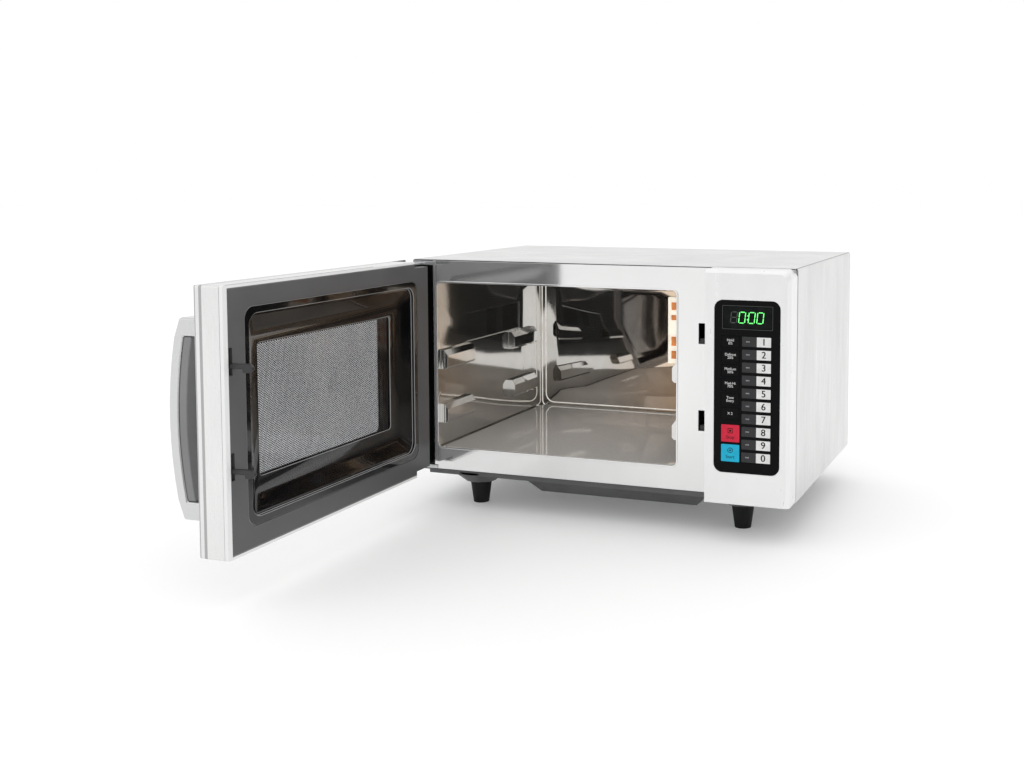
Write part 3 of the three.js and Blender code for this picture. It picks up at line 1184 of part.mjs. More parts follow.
// Outline of the bow handle seen from the side, drawn in Y and Z.
function bowOutline(standoffMiddle, standoffEnd, low, high, legLow, legHigh, inner) {
  const face = DOOR_OUTER - GAP;
  const middle = (low + high) / 2;
  const steps = 10;
  const points = [];
  points.push([face, low]);
  for (let i = 0; i <= steps; i += 1) {
    const t = i / steps;
    const z = low + (high - low) * t;
    const round = Math.min(1, Math.min(t, 1 - t) * steps);
    const arch = 1 - ((z - middle) / (middle - low)) ** 2;
    const inset = (1 - round) * 3;
    points.push([face - standoffEnd - (standoffMiddle - standoffEnd) * arch + inset, z]);
  }
  points.push([face, high]);
  if (!inner) return outlineOf(points);
  points.push([face, legHigh]);
  for (let i = steps; i >= 0; i -= 1) {
    const z = legLow + (legHigh - legLow) * (i / steps);
    const arch = 1 - ((z - middle) / (middle - low)) ** 2;
    points.push([face - standoffEnd - (standoffMiddle - standoffEnd) * arch + inner, z]);
  }
  points.push([face, legLow]);
  return outlineOf(points);
}

function handleBow() {
  const outline = bowOutline(HANDLE_STANDOFF, HANDLE_END_STANDOFF, HANDLE_BOTTOM, HANDLE_TOP,
    HANDLE_BOTTOM + HANDLE_LEG, HANDLE_TOP - HANDLE_LEG, HANDLE_BOW);
  return alongX(outline, HANDLE_X - HANDLE_WIDTH / 2, HANDLE_X + HANDLE_WIDTH / 2);
}

function handleGrip() {
  const face = DOOR_OUTER - GAP;
  const low = HANDLE_BOTTOM + HANDLE_LEG + GAP;
  const high = HANDLE_TOP - HANDLE_LEG - GAP;
  const middle = (HANDLE_BOTTOM + HANDLE_TOP) / 2;
  const reach = HANDLE_STANDOFF - HANDLE_END_STANDOFF;
  const steps = 10;
  const outer = [];
  const inner = [];
  for (let i = 0; i <= steps; i += 1) {
    const z = low + (high - low) * (i / steps);
    const arch = 1 - ((z - middle) / (middle - HANDLE_BOTTOM)) ** 2;
    const bowInner = face - HANDLE_END_STANDOFF - reach * arch + HANDLE_BOW;
    outer.push([bowInner + GAP, z]);
    inner.unshift([bowInner + GAP + HANDLE_GRIP, z]);
  }
  return alongX(outlineOf([...outer, ...inner]), HANDLE_X - HANDLE_WIDTH / 2 + 1,
      HANDLE_X + HANDLE_WIDTH / 2 - 1);
}

// ---------------------------------------------------------------- assembly
function buildCasing(group) {
  place(group, 'outer_cover', outerCover(), materials.cover);
  place(group, 'base_plate', basePlate(), materials.darkSheet);
  place(group, 'back_panel', backPanel(), materials.zinc);
  place(group, 'front_plate', frontPlate(), materials.polished);
  for (const [name, x, y] of footPositions()) place(group, name, foot(x, y), materials.rubber);
}

function buildCavity(group) {
  place(group, 'cavity_liner', cavityLiner(), materials.polished);
  place(group, 'cavity_back_wall', cavityBackWall(), materials.polished);
  place(group, 'ceramic_floor', ceramicFloor(), materials.ceramic);
  place(group, 'lamp_cover', lampCover(), materials.cream);
  place(group, 'cavity_lamp', cavityLamp(), materials.lamp);
}

function buildFeed(group) {
  place(group, 'stirrer_antenna', stirrerAntenna(), materials.aluminium);
  place(group, 'stirrer_motor', stirrerMotor(), materials.zinc);
  place(group, 'waveguide', waveguide(), materials.zinc);
  place(group, 'magnetron', magnetron(), materials.aluminium);
}

function buildElectrics(group) {
  place(group, 'transformer', transformer(), materials.core);
  place(group, 'capacitor', capacitor(), materials.aluminium);
  place(group, 'fan_shroud', fanShroud(), materials.blackPlastic);
  place(group, 'fan_motor', fanMotor(), materials.core);
  place(group, 'fan_blade', fanBlade(), materials.whitePlastic);
  place(group, 'filter_board', filterBoard(), materials.board);
  place(group, 'cable_gland', cableGland(), materials.blackPlastic);
  place(group, 'latch_bracket', latchBracket(), materials.whitePlastic);
  place(group, 'interlock_switch_upper', interlockSwitch(LATCH_UPPER_Z), materials.blackPlastic);
  place(group, 'interlock_switch_lower', interlockSwitch(LATCH_LOWER_Z), materials.blackPlastic);
}

function buildPanel(group) {
  place(group, 'control_panel_housing', panelHousing(), materials.cover);
  place(group, 'keypad_overlay', keypadOverlay(), materials.blackGloss);
  place(group, 'display_window', displayWindow(), materials.glass);
  place(group, 'control_board', controlBoard(), materials.board);
  for (const key of keyList()) place(group, key.name, keyPad(key), key.material);
}

function buildDoor(group) {
  const hinge = new THREE.Group();
  hinge.position.set(HINGE_X, HINGE_Y, 0);
  hinge.rotation.z = -Math.PI / 2;
  const door = new THREE.Group();
  door.position.set(-HINGE_X, -HINGE_Y, 0);
  hinge.add(door);
  group.add(hinge);
  place(door, 'door_skin', doorSkin(), materials.cover);
  place(door, 'door_inner_panel', doorInnerPanel(), materials.greyPanel);
  place(door, 'choke_cover', chokeCover(), materials.blackGloss);
  place(door, 'door_screen', doorScreen(), materials.screen);
  place(door, 'door_window', doorWindow(), materials.glass);
  place(door, 'latch_lever', latchLever(), materials.blackPlastic);
  place(door, 'latch_spring', latchSpring(), materials.zinc);
  place(door, 'handle_bow', handleBow(), materials.silverPlastic);
  place(door, 'handle_grip', handleGrip(), materials.blackPlastic);
}

function buildOven() {
  const oven = new THREE.Group();
  const parts = new THREE.Group();
  oven.add(parts);
  buildCasing(parts);
  buildCavity(parts);
  buildFeed(parts);
  buildElectrics(parts);
  buildPanel(parts);
  place(parts, 'hinge_bracket_upper', hingeBracket(true), materials.zinc);
  place(parts, 'hinge_bracket_lower', hingeBracket(false), materials.zinc);
  buildDoor(parts);
  oven.updateMatrixWorld(true);
  const bounds = new THREE.Box3().setFromObject(oven, true);
  parts.position.set(-(bounds.min.x + bounds.max.x) / 2, -(bounds.min.y + bounds.max.y) / 2, 0);
  return oven;
}

export default buildOven();
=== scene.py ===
"""Looks for the commercial microwave oven: camera, studio, materials and fine detail."""
import json
import math

import bpy
from mathutils import Matrix, Vector


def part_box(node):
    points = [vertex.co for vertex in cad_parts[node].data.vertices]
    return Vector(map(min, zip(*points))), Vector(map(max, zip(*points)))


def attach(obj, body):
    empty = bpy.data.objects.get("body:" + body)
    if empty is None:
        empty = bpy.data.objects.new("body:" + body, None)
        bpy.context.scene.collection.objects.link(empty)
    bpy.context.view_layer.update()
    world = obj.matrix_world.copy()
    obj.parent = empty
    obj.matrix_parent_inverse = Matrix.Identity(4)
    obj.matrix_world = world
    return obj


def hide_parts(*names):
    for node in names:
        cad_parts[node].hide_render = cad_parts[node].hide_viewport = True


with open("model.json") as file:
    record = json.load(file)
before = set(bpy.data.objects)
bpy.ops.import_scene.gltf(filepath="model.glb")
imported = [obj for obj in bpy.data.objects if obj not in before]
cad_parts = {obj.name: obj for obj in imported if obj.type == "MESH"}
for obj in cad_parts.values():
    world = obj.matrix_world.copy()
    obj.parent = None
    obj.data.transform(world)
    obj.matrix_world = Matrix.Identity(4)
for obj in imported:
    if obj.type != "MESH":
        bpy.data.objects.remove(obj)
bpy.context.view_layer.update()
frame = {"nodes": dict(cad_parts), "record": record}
NODES = frame["nodes"]

MM = 0.001
LINER_SHEET = 0.8 * MM


# ---------------------------------------------------------------- node helpers
def new_material(name, colour, roughness, metallic=0.0):
    material = bpy.data.materials.new(name)
    material.use_nodes = True
    shader = material.node_tree.nodes["Principled BSDF"]
    shader.inputs["Base Color"].default_value = (*colour, 1.0)
    shader.inputs["Roughness"].default_value = roughness
    shader.inputs["Metallic"].default_value = metallic
    return material, material.node_tree, shader


def placed_vector(tree, scale):
    """Object coordinates, stretched. Every mesh is drawn in the oven's frame, so these are metres."""
    coordinates = tree.nodes.new("ShaderNodeTexCoord")
    mapping = tree.nodes.new("ShaderNodeMapping")
    mapping.inputs["Scale"].default_value = scale
    tree.links.new(coordinates.outputs["Object"], mapping.inputs["Vector"])
    return mapping.outputs["Vector"]


def noise(tree, scale, detail=3.0, roughness=0.55, distortion=0.0):
    """Noise with its own stretch: scale is how many features fit in a metre along X, Y and Z."""
    node = tree.nodes.new("ShaderNodeTexNoise")
    node.inputs["Scale"].default_value = 1.0
    node.inputs["Detail"].default_value = detail
    node.inputs["Roughness"].default_value = roughness
    node.inputs["Distortion"].default_value = distortion
    tree.links.new(placed_vector(tree, scale), node.inputs["Vector"])
    return node.outputs["Fac"]


def spread(tree, value, low, high, start=0.3, end=0.7):
    """Maps a noise value to the range low to high."""
    node = tree.nodes.new("ShaderNodeMapRange")
    node.inputs["From Min"].default_value = start
    node.inputs["From Max"].default_value = end
    node.inputs["To Min"].default_value = low
    node.inputs["To Max"].default_value = high
    tree.links.new(value, node.inputs["Value"])
    return node.outputs["Result"]


def two_colours(tree, value, dark, light, start=0.35, end=0.65):
    ramp = tree.nodes.new("ShaderNodeValToRGB")
    ramp.color_ramp.elements[0].position = start
    ramp.color_ramp.elements[0].color = (*dark, 1.0)
    ramp.color_ramp.elements[1].position = end
    ramp.color_ramp.elements[1].color = (*light, 1.0)
    tree.links.new(value, ramp.inputs["Fac"])
    return ramp.outputs["Color"]


def bump(tree, shader, value, strength, distance, under=None):
    node = tree.nodes.new("ShaderNodeBump")
    node.inputs["Strength"].default_value = strength
    node.inputs["Distance"].default_value = distance
    tree.links.new(value, node.inputs["Height"])
    if under is not None:
        tree.links.new(under, node.inputs["Normal"])
    tree.links.new(node.outputs["Normal"], shader.inputs["Normal"])
    return node.outputs["Normal"]


def shade(colour, factor):
    return tuple(min(1.0, part * factor) for part in colour)


def mottle(tree, shader, value, colour, dark, light, start=0.35, end=0.65):
    """Lets the base colour drift between two factors of itself, and gives the drifting colour back."""
    tint = two_colours(tree, value, shade(colour, dark), shade(colour, light), start, end)
    tree.links.new(tint, shader.inputs["Base Color"])
    return tint


def vary_roughness(tree, shader, value, low, high):
    tree.links.new(spread(tree, value, low, high), shader.inputs["Roughness"])


def place_on_axis(tree, axis):
    """The place on one axis of the oven's frame, in metres."""
    coordinates = tree.nodes.new("ShaderNodeTexCoord")
    parts = tree.nodes.new("ShaderNodeSeparateXYZ")
    tree.links.new(coordinates.outputs["Object"], parts.inputs["Vector"])
    return parts.outputs[axis]


def colour_over(material, factor, colour, blend="MIX"):
    """Lays a colour over the base colour of a finished material, as much as the factor says."""
    tree = material.node_tree
    shader = tree.nodes["Principled BSDF"]
    under = shader.inputs["Base Color"].links[0].from_socket
    mix = tree.nodes.new("ShaderNodeMix")
    mix.data_type = "RGBA"
    mix.blend_type = blend
    mix.inputs["B"].default_value = (*colour, 1.0)
    tree.links.new(factor, mix.inputs["Factor"])
    tree.links.new(under, mix.inputs["A"])
    tree.links.new(mix.outputs["Result"], shader.inputs["Base Color"])


def paint_band(material, axis, low, high, colour):
    """Paints the straight band between low and high on this axis another colour."""
    tree = material.node_tree
    compare = tree.nodes.new("ShaderNodeMath")
    compare.operation = "COMPARE"
    compare.inputs[1].default_value = (low + high) / 2
    compare.inputs[2].default_value = (high - low) / 2
    tree.links.new(place_on_axis(tree, axis), compare.inputs[0])
    colour_over(material, compare.outputs["Value"], colour)


def warm_towards(material, axis, low, high, colour):
    """Tints a material more and more from low to high on this axis, as a lamp on that side would."""
    tree = material.node_tree
    growing = spread(tree, place_on_axis(tree, axis), 0.0, 1.0, low, high)
    colour_over(material, growing, colour, "MULTIPLY")


# ---------------------------------------------------------------- metals
# Noise features per metre along X, Y and Z: few along the brushing, many across it.
BRUSHED_UPRIGHT = (300.0, 300.0, 12.0)
BRUSHED_ACROSS = (14.0, 300.0, 300.0)
SOFTLY_BRUSHED = (200.0, 200.0, 26.0)


def brushed_steel(name, colour, roughness, grain, patchiness=0.05, fineness=0.015, metallic=1.0):
    """Brushed sheet with fine lines, slow patches and a slight wave."""
    material, tree, shader = new_material(name, colour, roughness, metallic)
    lines = noise(tree, grain, 4.0, 0.6)
    patches = noise(tree, (13.0, 13.0, 3.5), 4.0, 0.65)
    mottle(tree, shader, patches, colour, 1 - patchiness, 1 + patchiness, 0.3, 0.7)
    vary_roughness(tree, shader, lines, roughness * 0.85, roughness * 1.2)
    wavy = bump(tree, shader, noise(tree, (7.0, 7.0, 7.0), 1.0), 0.04, 0.002)
    bump(tree, shader, lines, fineness, 0.0002, wavy)
    return material


def polished_steel(name, colour, roughness, wave):
    """Bright cavity sheet: nearly a mirror, with faint rolling lines and slow waves in it."""
    material, tree, shader = new_material(name, colour, roughness, 1.0)
    lines = noise(tree, (60.0, 900.0, 900.0), 3.0)
    smears = noise(tree, (16.0, 16.0, 11.0), 4.0, 0.6, 0.6)
    mottle(tree, shader, smears, colour, 0.93, 1.04, 0.3, 0.7)
    vary_roughness(tree, shader, smears, roughness * 0.7, roughness * 1.5)
    slow = bump(tree, shader, noise(tree, (9.0, 9.0, 9.0), 1.0, 0.4, 0.3), wave, 0.003)
    bump(tree, shader, lines, 0.015, 0.0001, slow)
    return material


def plated_sheet(name, colour, roughness):
    """Zinc-plated or raw pressed sheet with its faint crystal patches."""
    material, tree, shader = new_material(name, colour, roughness, 1.0)
    cells = tree.nodes.new("ShaderNodeTexVoronoi")
    cells.inputs["Scale"].default_value = 1.0
    tree.links.new(placed_vector(tree, (240.0, 240.0, 240.0)), cells.inputs["Vector"])
    mottle(tree, shader, cells.outputs["Color"], colour, 0.88, 1.1, 0.1, 0.9)
    cloud = noise(tree, (80.0, 80.0, 80.0))
    vary_roughness(tree, shader, cloud, roughness - 0.07, roughness + 0.1)
    bump(tree, shader, noise(tree, (500.0, 500.0, 500.0)), 0.05, 0.0002)
    return material


def painted_sheet(name, colour, roughness, metallic, peel=0.08):
    """Paint with fine orange peel and slight dusting."""
    material, tree, shader = new_material(name, colour, roughness, metallic)
    dust = noise(tree, (26.0, 26.0, 26.0), 5.0, 0.65)
    mottle(tree, shader, dust, colour, 0.88, 1.12)
    vary_roughness(tree, shader, dust, roughness - 0.05, roughness + 0.07)
    bump(tree, shader, noise(tree, (700.0, 700.0, 700.0), 2.0), peel, 0.0002)
    return material


# ---------------------------------------------------------------- plastics, rubber, ceramic, glass
def moulded_plastic(name, colour, roughness, grain=0.12):
    """Plastic with a fine moulded grain."""
    material, tree, shader = new_material(name, colour, roughness)
    cloud = noise(tree, (18.0, 18.0, 18.0), 4.0, 0.6)
    mottle(tree, shader, cloud, colour, 0.94, 1.06)
    vary_roughness(tree, shader, cloud, roughness - 0.04, roughness + 0.05)
    bump(tree, shader, noise(tree, (1400.0, 1400.0, 1400.0), 2.0), grain, 0.00015)
    return material


def gloss_plastic(name, colour, roughness, coat, specular):
    """Polished plastic or film with slight smudges."""
    material, tree, shader = new_material(name, colour, roughness)
    shader.inputs["Specular IOR Level"].default_value = specular
    smudge = noise(tree, (22.0, 22.0, 22.0), 5.0, 0.65, 0.8)
    mottle(tree, shader, smudge, colour, 0.85, 1.2)
    vary_roughness(tree, shader, smudge, roughness * 0.7, roughness * 1.6)
    shader.inputs["Coat Weight"].default_value = coat
    shader.inputs["Coat Roughness"].default_value = 0.03
    bump(tree, shader, noise(tree, (12.0, 12.0, 12.0), 2.0), 0.05, 0.001)
    return material


def metallic_paint(name, colour, roughness):
    """Silver paint on plastic: fine flakes under a clear coat."""
    material, tree, shader = new_material(name, colour, roughness, 0.75)
    flakes = noise(tree, (2600.0, 2600.0, 2600.0), 2.0)
    cloud = noise(tree, (11.0, 11.0, 11.0), 3.0)
    mottle(tree, shader, flakes, colour, 0.93, 1.05)
    vary_roughness(tree, shader, cloud, roughness - 0.05, roughness + 0.07)
    shader.inputs["Coat Weight"].default_value = 0.35
    shader.inputs["Coat Roughness"].default_value = 0.12
    bump(tree, shader, flakes, 0.03, 0.0001)
    return material


CLEAN_RUBBER = (0.006, 0.006, 0.0065)
DUSTY_RUBBER = (0.018, 0.018, 0.0185)


def rubber(name):
    """Deep black rubber with a little dust on it."""
    material, tree, shader = new_material(name, CLEAN_RUBBER, 0.6)
    shader.inputs["Specular IOR Level"].default_value = 0.2
    dust = noise(tree, (60.0, 60.0, 25.0), 5.0, 0.7)
    tint = two_colours(tree, dust, CLEAN_RUBBER, DUSTY_RUBBER, 0.4, 0.8)
    tree.links.new(tint, shader.inputs["Base Color"])
    vary_roughness(tree, shader, dust, 0.45, 0.72)
    bump(tree, shader, noise(tree, (900.0, 900.0, 900.0)), 0.2, 0.0002)
    return material


def ceramic_plate(name):
    """Glazed ceramic with a fine speckle under the gloss."""
    colour = (0.60, 0.575, 0.545)
    material, tree, shader = new_material(name, colour, 0.06)
    speckle = noise(tree, (420.0, 420.0, 420.0), 3.0, 0.7)
    cloud = noise(tree, (6.0, 6.0, 6.0), 2.0)
    mottle(tree, shader, speckle, colour, 0.93, 1.06)
    vary_roughness(tree, shader, cloud, 0.03, 0.07)
    shader.inputs["IOR"].default_value = 1.9
    bump(tree, shader, noise(tree, (5.0, 5.0, 5.0), 1.0), 0.05, 0.002)
    return material


def tinted_glass(name, tint):
    material, tree, shader = new_material(name, tint, 0.01)
    shader.inputs["Transmission Weight"].default_value = 1.0
    shader.inputs["IOR"].default_value = 1.5
    cloud = noise(tree, (14.0, 14.0, 14.0), 3.0)
    mottle(tree, shader, cloud, tint, 0.95, 1.05)
    bump(tree, shader, noise(tree, (8.0, 8.0, 8.0), 1.0), 0.02, 0.001)
    return material


def dark_window(name):
    """The display's dark acrylic: nearly black, with a polished face."""
    material, tree, shader = new_material(name, (0.004, 0.006, 0.005), 0.05)
    cloud = noise(tree, (90.0, 90.0, 90.0), 3.0)
    tint = two_colours(tree, cloud, (0.003, 0.004, 0.004), (0.008, 0.01, 0.009))
    tree.links.new(tint, shader.inputs["Base Color"])
    vary_roughness(tree, shader, cloud, 0.03, 0.08)
    shader.inputs["Specular IOR Level"].default_value = 0.08
    return material


def glowing(name, colour, strength, ripple=60.0):
    """A lit surface whose light is a little uneven."""
    material, tree, shader = new_material(name, colour, 0.3)
    patch = noise(tree, (ripple, ripple, ripple), 2.0)
    tint = mottle(tree, shader, patch, colour, 0.85, 1.1)
    tree.links.new(tint, shader.inputs["Emission Color"])
    shader.inputs["Emission Strength"].default_value = strength
    return material


def printed(name, colour, roughness=0.35, specular=0.12):
    """Screen-printed ink."""
    material, tree, shader = new_material(name, colour, roughness)
    shader.inputs["Specular IOR Level"].default_value = specular
    cloud = noise(tree, (160.0, 160.0, 160.0), 3.0)
    mottle(tree, shader, cloud, colour, 0.93, 1.04)
    vary_roughness(tree, shader, cloud, roughness - 0.05, roughness + 0.06)
    return material


def white_floor(name):
    """The white sweep under the oven. It glows a little, so that shadows on it stay faint."""
    material, _, shader = new_material(name, (0.90, 0.90, 0.90), 0.5)
    shader.inputs["Specular IOR Level"].default_value = 0.1
    shader.inputs["Emission Color"].default_value = (1.0, 1.0, 1.0, 1.0)
    shader.inputs["Emission Strength"].default_value = 0.14
    return material


def circuit_board(name):
    """Green board with a pattern of tracks."""
    material, tree, shader = new_material(name, (0.02, 0.09, 0.04), 0.35)
    tracks = tree.nodes.new("ShaderNodeTexBrick")
    tracks.inputs["Color1"].default_value = (0.018, 0.085, 0.035, 1.0)
    tracks.inputs["Color2"].default_value = (0.022, 0.11, 0.045, 1.0)
    tracks.inputs["Mortar"].default_value = (0.05, 0.2, 0.09, 1.0)
    tracks.inputs["Scale"].default_value = 1.0
    tree.links.new(placed_vector(tree, (140.0, 140.0, 140.0)), tracks.inputs["Vector"])
    tree.links.new(tracks.outputs["Color"], shader.inputs["Base Color"])
    bump(tree, shader, tracks.outputs["Fac"], 0.2, 0.0002)
    return material


def laminated_core(name):
    """Stacked iron sheets, varnished."""
    colour = (0.10, 0.07, 0.05)
    material, tree, shader = new_material(name, colour, 0.55, 0.5)
    layers = noise(tree, (30.0, 1800.0, 30.0), 2.0)
    mottle(tree, shader, layers, colour, 0.6, 1.5)
    bump(tree, shader, layers, 0.3, 0.0003)
    return material


def build_materials():
    return {
        "cover_steel": brushed_steel("cover_steel", (0.69, 0.69, 0.686), 0.30, BRUSHED_UPRIGHT, 0.10),
        "front_steel": brushed_steel("front_steel", (0.80, 0.80, 0.795), 0.07, BRUSHED_ACROSS,
                                     0.02, 0.004, 0.80),
        "door_steel": brushed_steel("door_steel", (0.76, 0.76, 0.755), 0.28, BRUSHED_UPRIGHT),
        # A lighter grey for the rounded edges of the door's black recess: a painted highlight, not ink.
        "painted_edge_highlight": printed("painted_edge_highlight", (0.30, 0.30, 0.30), 0.2, 0.6),
        "polished_steel": polished_steel("polished_steel", (0.70, 0.69, 0.67), 0.045, 0.07),
        "warm_steel": polished_steel("warm_steel", (0.76, 0.745, 0.72), 0.04, 0.10),
        "lit_cream": glowing("lit_cream", (0.95, 0.87, 0.75), 0.55, 90.0),
        # A glow for the back wall's folds: a painted highlight, though they are no lamp.
        "bright_edge": glowing("bright_edge", (0.92, 0.88, 0.82), 0.45, 60.0),
        "amber": glowing("amber", (0.52, 0.19, 0.055), 0.45, 120.0),
        "zinc_sheet": plated_sheet("zinc_sheet", (0.60, 0.61, 0.62), 0.33),
        "dark_sheet": painted_sheet("dark_sheet", (0.12, 0.12, 0.123), 0.42, 0.4),
        "aluminium_sheet": plated_sheet("aluminium_sheet", (0.72, 0.73, 0.74), 0.3),
        "core_steel": laminated_core("core_steel"),
        "ceramic_plate": ceramic_plate("ceramic_plate"),
        "lamp_glass": glowing("lamp_glass", (0.95, 0.42, 0.16), 0.8, 200.0),
        "foot_rubber": rubber("foot_rubber"),
        "panel_silver": brushed_steel("panel_silver", (0.83, 0.83, 0.828), 0.32, SOFTLY_BRUSHED,
                                      0.03, 0.006, 0.6),
        "handle_silver": metallic_paint("handle_silver", (0.62, 0.62, 0.625), 0.24),
        "inner_panel": moulded_plastic("inner_panel", (0.085, 0.085, 0.087), 0.36, 0.08),
        "grip_grey": moulded_plastic("grip_grey", (0.20, 0.20, 0.205), 0.38),
        "black_gloss": gloss_plastic("black_gloss", (0.004, 0.004, 0.0045), 0.07, 0.5, 0.4),
        "overlay_film": gloss_plastic("overlay_film", (0.0025, 0.0025, 0.003), 0.2, 0.0, 0.08),
        "black_plastic": moulded_plastic("black_plastic", (0.018, 0.018, 0.019), 0.38),
        "white_plastic": moulded_plastic("white_plastic", (0.78, 0.78, 0.76), 0.4),
        "circuit_board": circuit_board("circuit_board"),
        "screen_sheet": painted_sheet("screen_sheet", (0.008, 0.008, 0.009), 0.08, 0.0, 0.0),
        "dark_glass": tinted_glass("dark_glass", (0.50, 0.51, 0.52)),
        "display_glass": dark_window("display_glass"),
        "key_number": printed("key_number", (0.040, 0.040, 0.042)),
        "key_mode": printed("key_mode", (0.0035, 0.0035, 0.004), 0.3, 0.08),
        "key_red": printed("key_red", (0.60, 0.025, 0.055)),
        "key_cyan": printed("key_cyan", (0.02, 0.42, 0.62)),
        "ink_white": printed("ink_white", (0.74, 0.74, 0.73)),
        "ink_grey": printed("ink_grey", (0.28, 0.28, 0.29)),
        "ink_black": printed("ink_black", (0.008, 0.008, 0.008)),
        "segment_on": glowing("segment_on", (0.12, 0.80, 0.16), 1.1, 300.0),
        "segment_off": printed("segment_off", (0.075, 0.078, 0.078)),
        # Black for the discs that stand for the wall's vent holes: painted shade.
        "hole_black": printed("hole_black", (0.004, 0.004, 0.004), 0.6, 0.05),
        "studio_floor": white_floor("studio_floor"),
        "studio_dark": new_material("studio_dark", (0.01, 0.01, 0.01), 0.9)[0],
    }


MATERIALS = build_materials()

# Nodes whose look differs from the finish named in the record's slot.
FINISH = {
    "front_plate": "front_steel", "display_window": "display_glass", "keypad_overlay": "overlay_film",
    "cavity_back_wall": "warm_steel", "lamp_cover": "lit_cream", "door_skin": "door_steel",
    "door_inner_panel": "inner_panel",
}

# Painted shade of the folds round the door's edge.
FOLD_SHADE_GREY = (0.40, 0.40, 0.40)
# Painted shade of the cover's bend.
BEND_SHADE_GREY = (0.25, 0.25, 0.25)
# Painted shade along the step of the door's inner rim.
RIM_STEP_SHADE_GREY = (0.16, 0.16, 0.16)
RIM_WHITE = (0.80, 0.80, 0.80)
HINGE_STRIP_BLACK = (0.012, 0.012, 0.012)
LAMP_CAST = (1.0, 0.72, 0.48)


def mark_door_edge():
    """Two grey lines of painted shade at the folds round the door's edge, and the white moulded rim of
    its inner panel, with a grey line of painted shade along its step at top and bottom.
    """
    skin = MATERIALS["door_steel"]
    outer_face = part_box("door_skin")[0].x
    for start, end in ((0.4, 1.5), (5.8, 9.2)):
        paint_band(skin, "X", outer_face + start * MM, outer_face + end * MM, FOLD_SHADE_GREY)
    rim = MATERIALS["inner_panel"]
    low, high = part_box("door_inner_panel")
    paint_band(rim, "Z", low.z, low.z + 4.4 * MM, RIM_STEP_SHADE_GREY)
    paint_band(rim, "Z", low.z, low.z + 3.0 * MM, RIM_WHITE)
    paint_band(rim, "Z", high.z - 3.8 * MM, high.z, RIM_STEP_SHADE_GREY)
    paint_band(rim, "Z", high.z - 2.8 * MM, high.z, RIM_WHITE)
    paint_band(rim, "Y", low.y - 0.1 * MM, low.y + 6.5 * MM, RIM_WHITE)


def mark_casing():
    """The dark hinge-side strip of the front plate, and a grey band of painted shade on the cover's
    bend on the right.
    """
    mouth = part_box("cavity_liner")[0].x + LINER_SHEET
    paint_band(MATERIALS["front_steel"], "X", mouth - 60 * MM, mouth - 2.5 * MM, HINGE_STRIP_BLACK)
    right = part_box("outer_cover")[1].x
    paint_band(MATERIALS["cover_steel"], "X", right - 2.6 * MM, right - 1.2 * MM, BEND_SHADE_GREY)


def warm_back_wall():
    """The lamp's cast on the right of the back wall."""
    low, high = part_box("cavity_back_wall")
    middle = (low.x + high.x) / 2
    warm_towards(MATERIALS["warm_steel"], "X", middle - 60 * MM, middle + 90 * MM, LAMP_CAST)


def dress_nodes():
    for part in frame["record"]["subparts"]:
        node = NODES[part["node"]]
        name = FINISH.get(part["node"], part["material_slot"])
        node.data.materials.clear()
        node.data.materials.append(MATERIALS[name])


# ---------------------------------------------------------------- softened edges
def angle_smoothing():
    """A node group that shades smooth and keeps edges sharper than 32 degrees crisp."""
    group = bpy.data.node_groups.new("smooth_by_angle", "GeometryNodeTree")
    group.interface.new_socket("Geometry", in_out="INPUT", socket_type="NodeSocketGeometry")
    group.interface.new_socket("Geometry", in_out="OUTPUT", socket_type="NodeSocketGeometry")
    start = group.nodes.new("NodeGroupInput")
    end = group.nodes.new("NodeGroupOutput")
    smooth = group.nodes.new("GeometryNodeSetShadeSmooth")
    crisp = group.nodes.new("GeometryNodeSetShadeSmooth")
    crisp.domain = "EDGE"
    crisp.inputs["Shade Smooth"].default_value = False
    angle = group.nodes.new("GeometryNodeInputMeshEdgeAngle")
    above = group.nodes.new("FunctionNodeCompare")
    above.inputs["B"].default_value = math.radians(32)
    group.links.new(start.outputs[0], smooth.inputs["Geometry"])
    group.links.new(smooth.outputs[0], crisp.inputs["Geometry"])
    group.links.new(angle.outputs["Unsigned Angle"], above.inputs["A"])
    group.links.new(above.outputs[0], crisp.inputs["Selection"])
    group.links.new(crisp.outputs[0], end.inputs[0])
    return group


SMOOTHING = angle_smoothing()


def soften(piece, edge):
    """Welds the piece, shades its curves smooth and rounds its edges by the given size."""
    if "custom_normal" in piece.data.attributes:
        piece.data.attributes.remove(piece.data.attributes["custom_normal"])
    weld = piece.modifiers.new("weld", "WELD")
    weld.merge_threshold = 2e-6
    flats = piece.modifiers.new("flats", "DECIMATE")
    flats.decimate_type = "DISSOLVE"
    flats.angle_limit = math.radians(0.4)
    smooth = piece.modifiers.new("smooth", "NODES")
    smooth.node_group = SMOOTHING
    if edge > 0:
        bevel = piece.modifiers.new("edges", "BEVEL")
        bevel.width = edge
        bevel.segments = 2
        bevel.limit_method = "ANGLE"
        bevel.angle_limit = math.radians(40)
        bevel.harden_normals = True


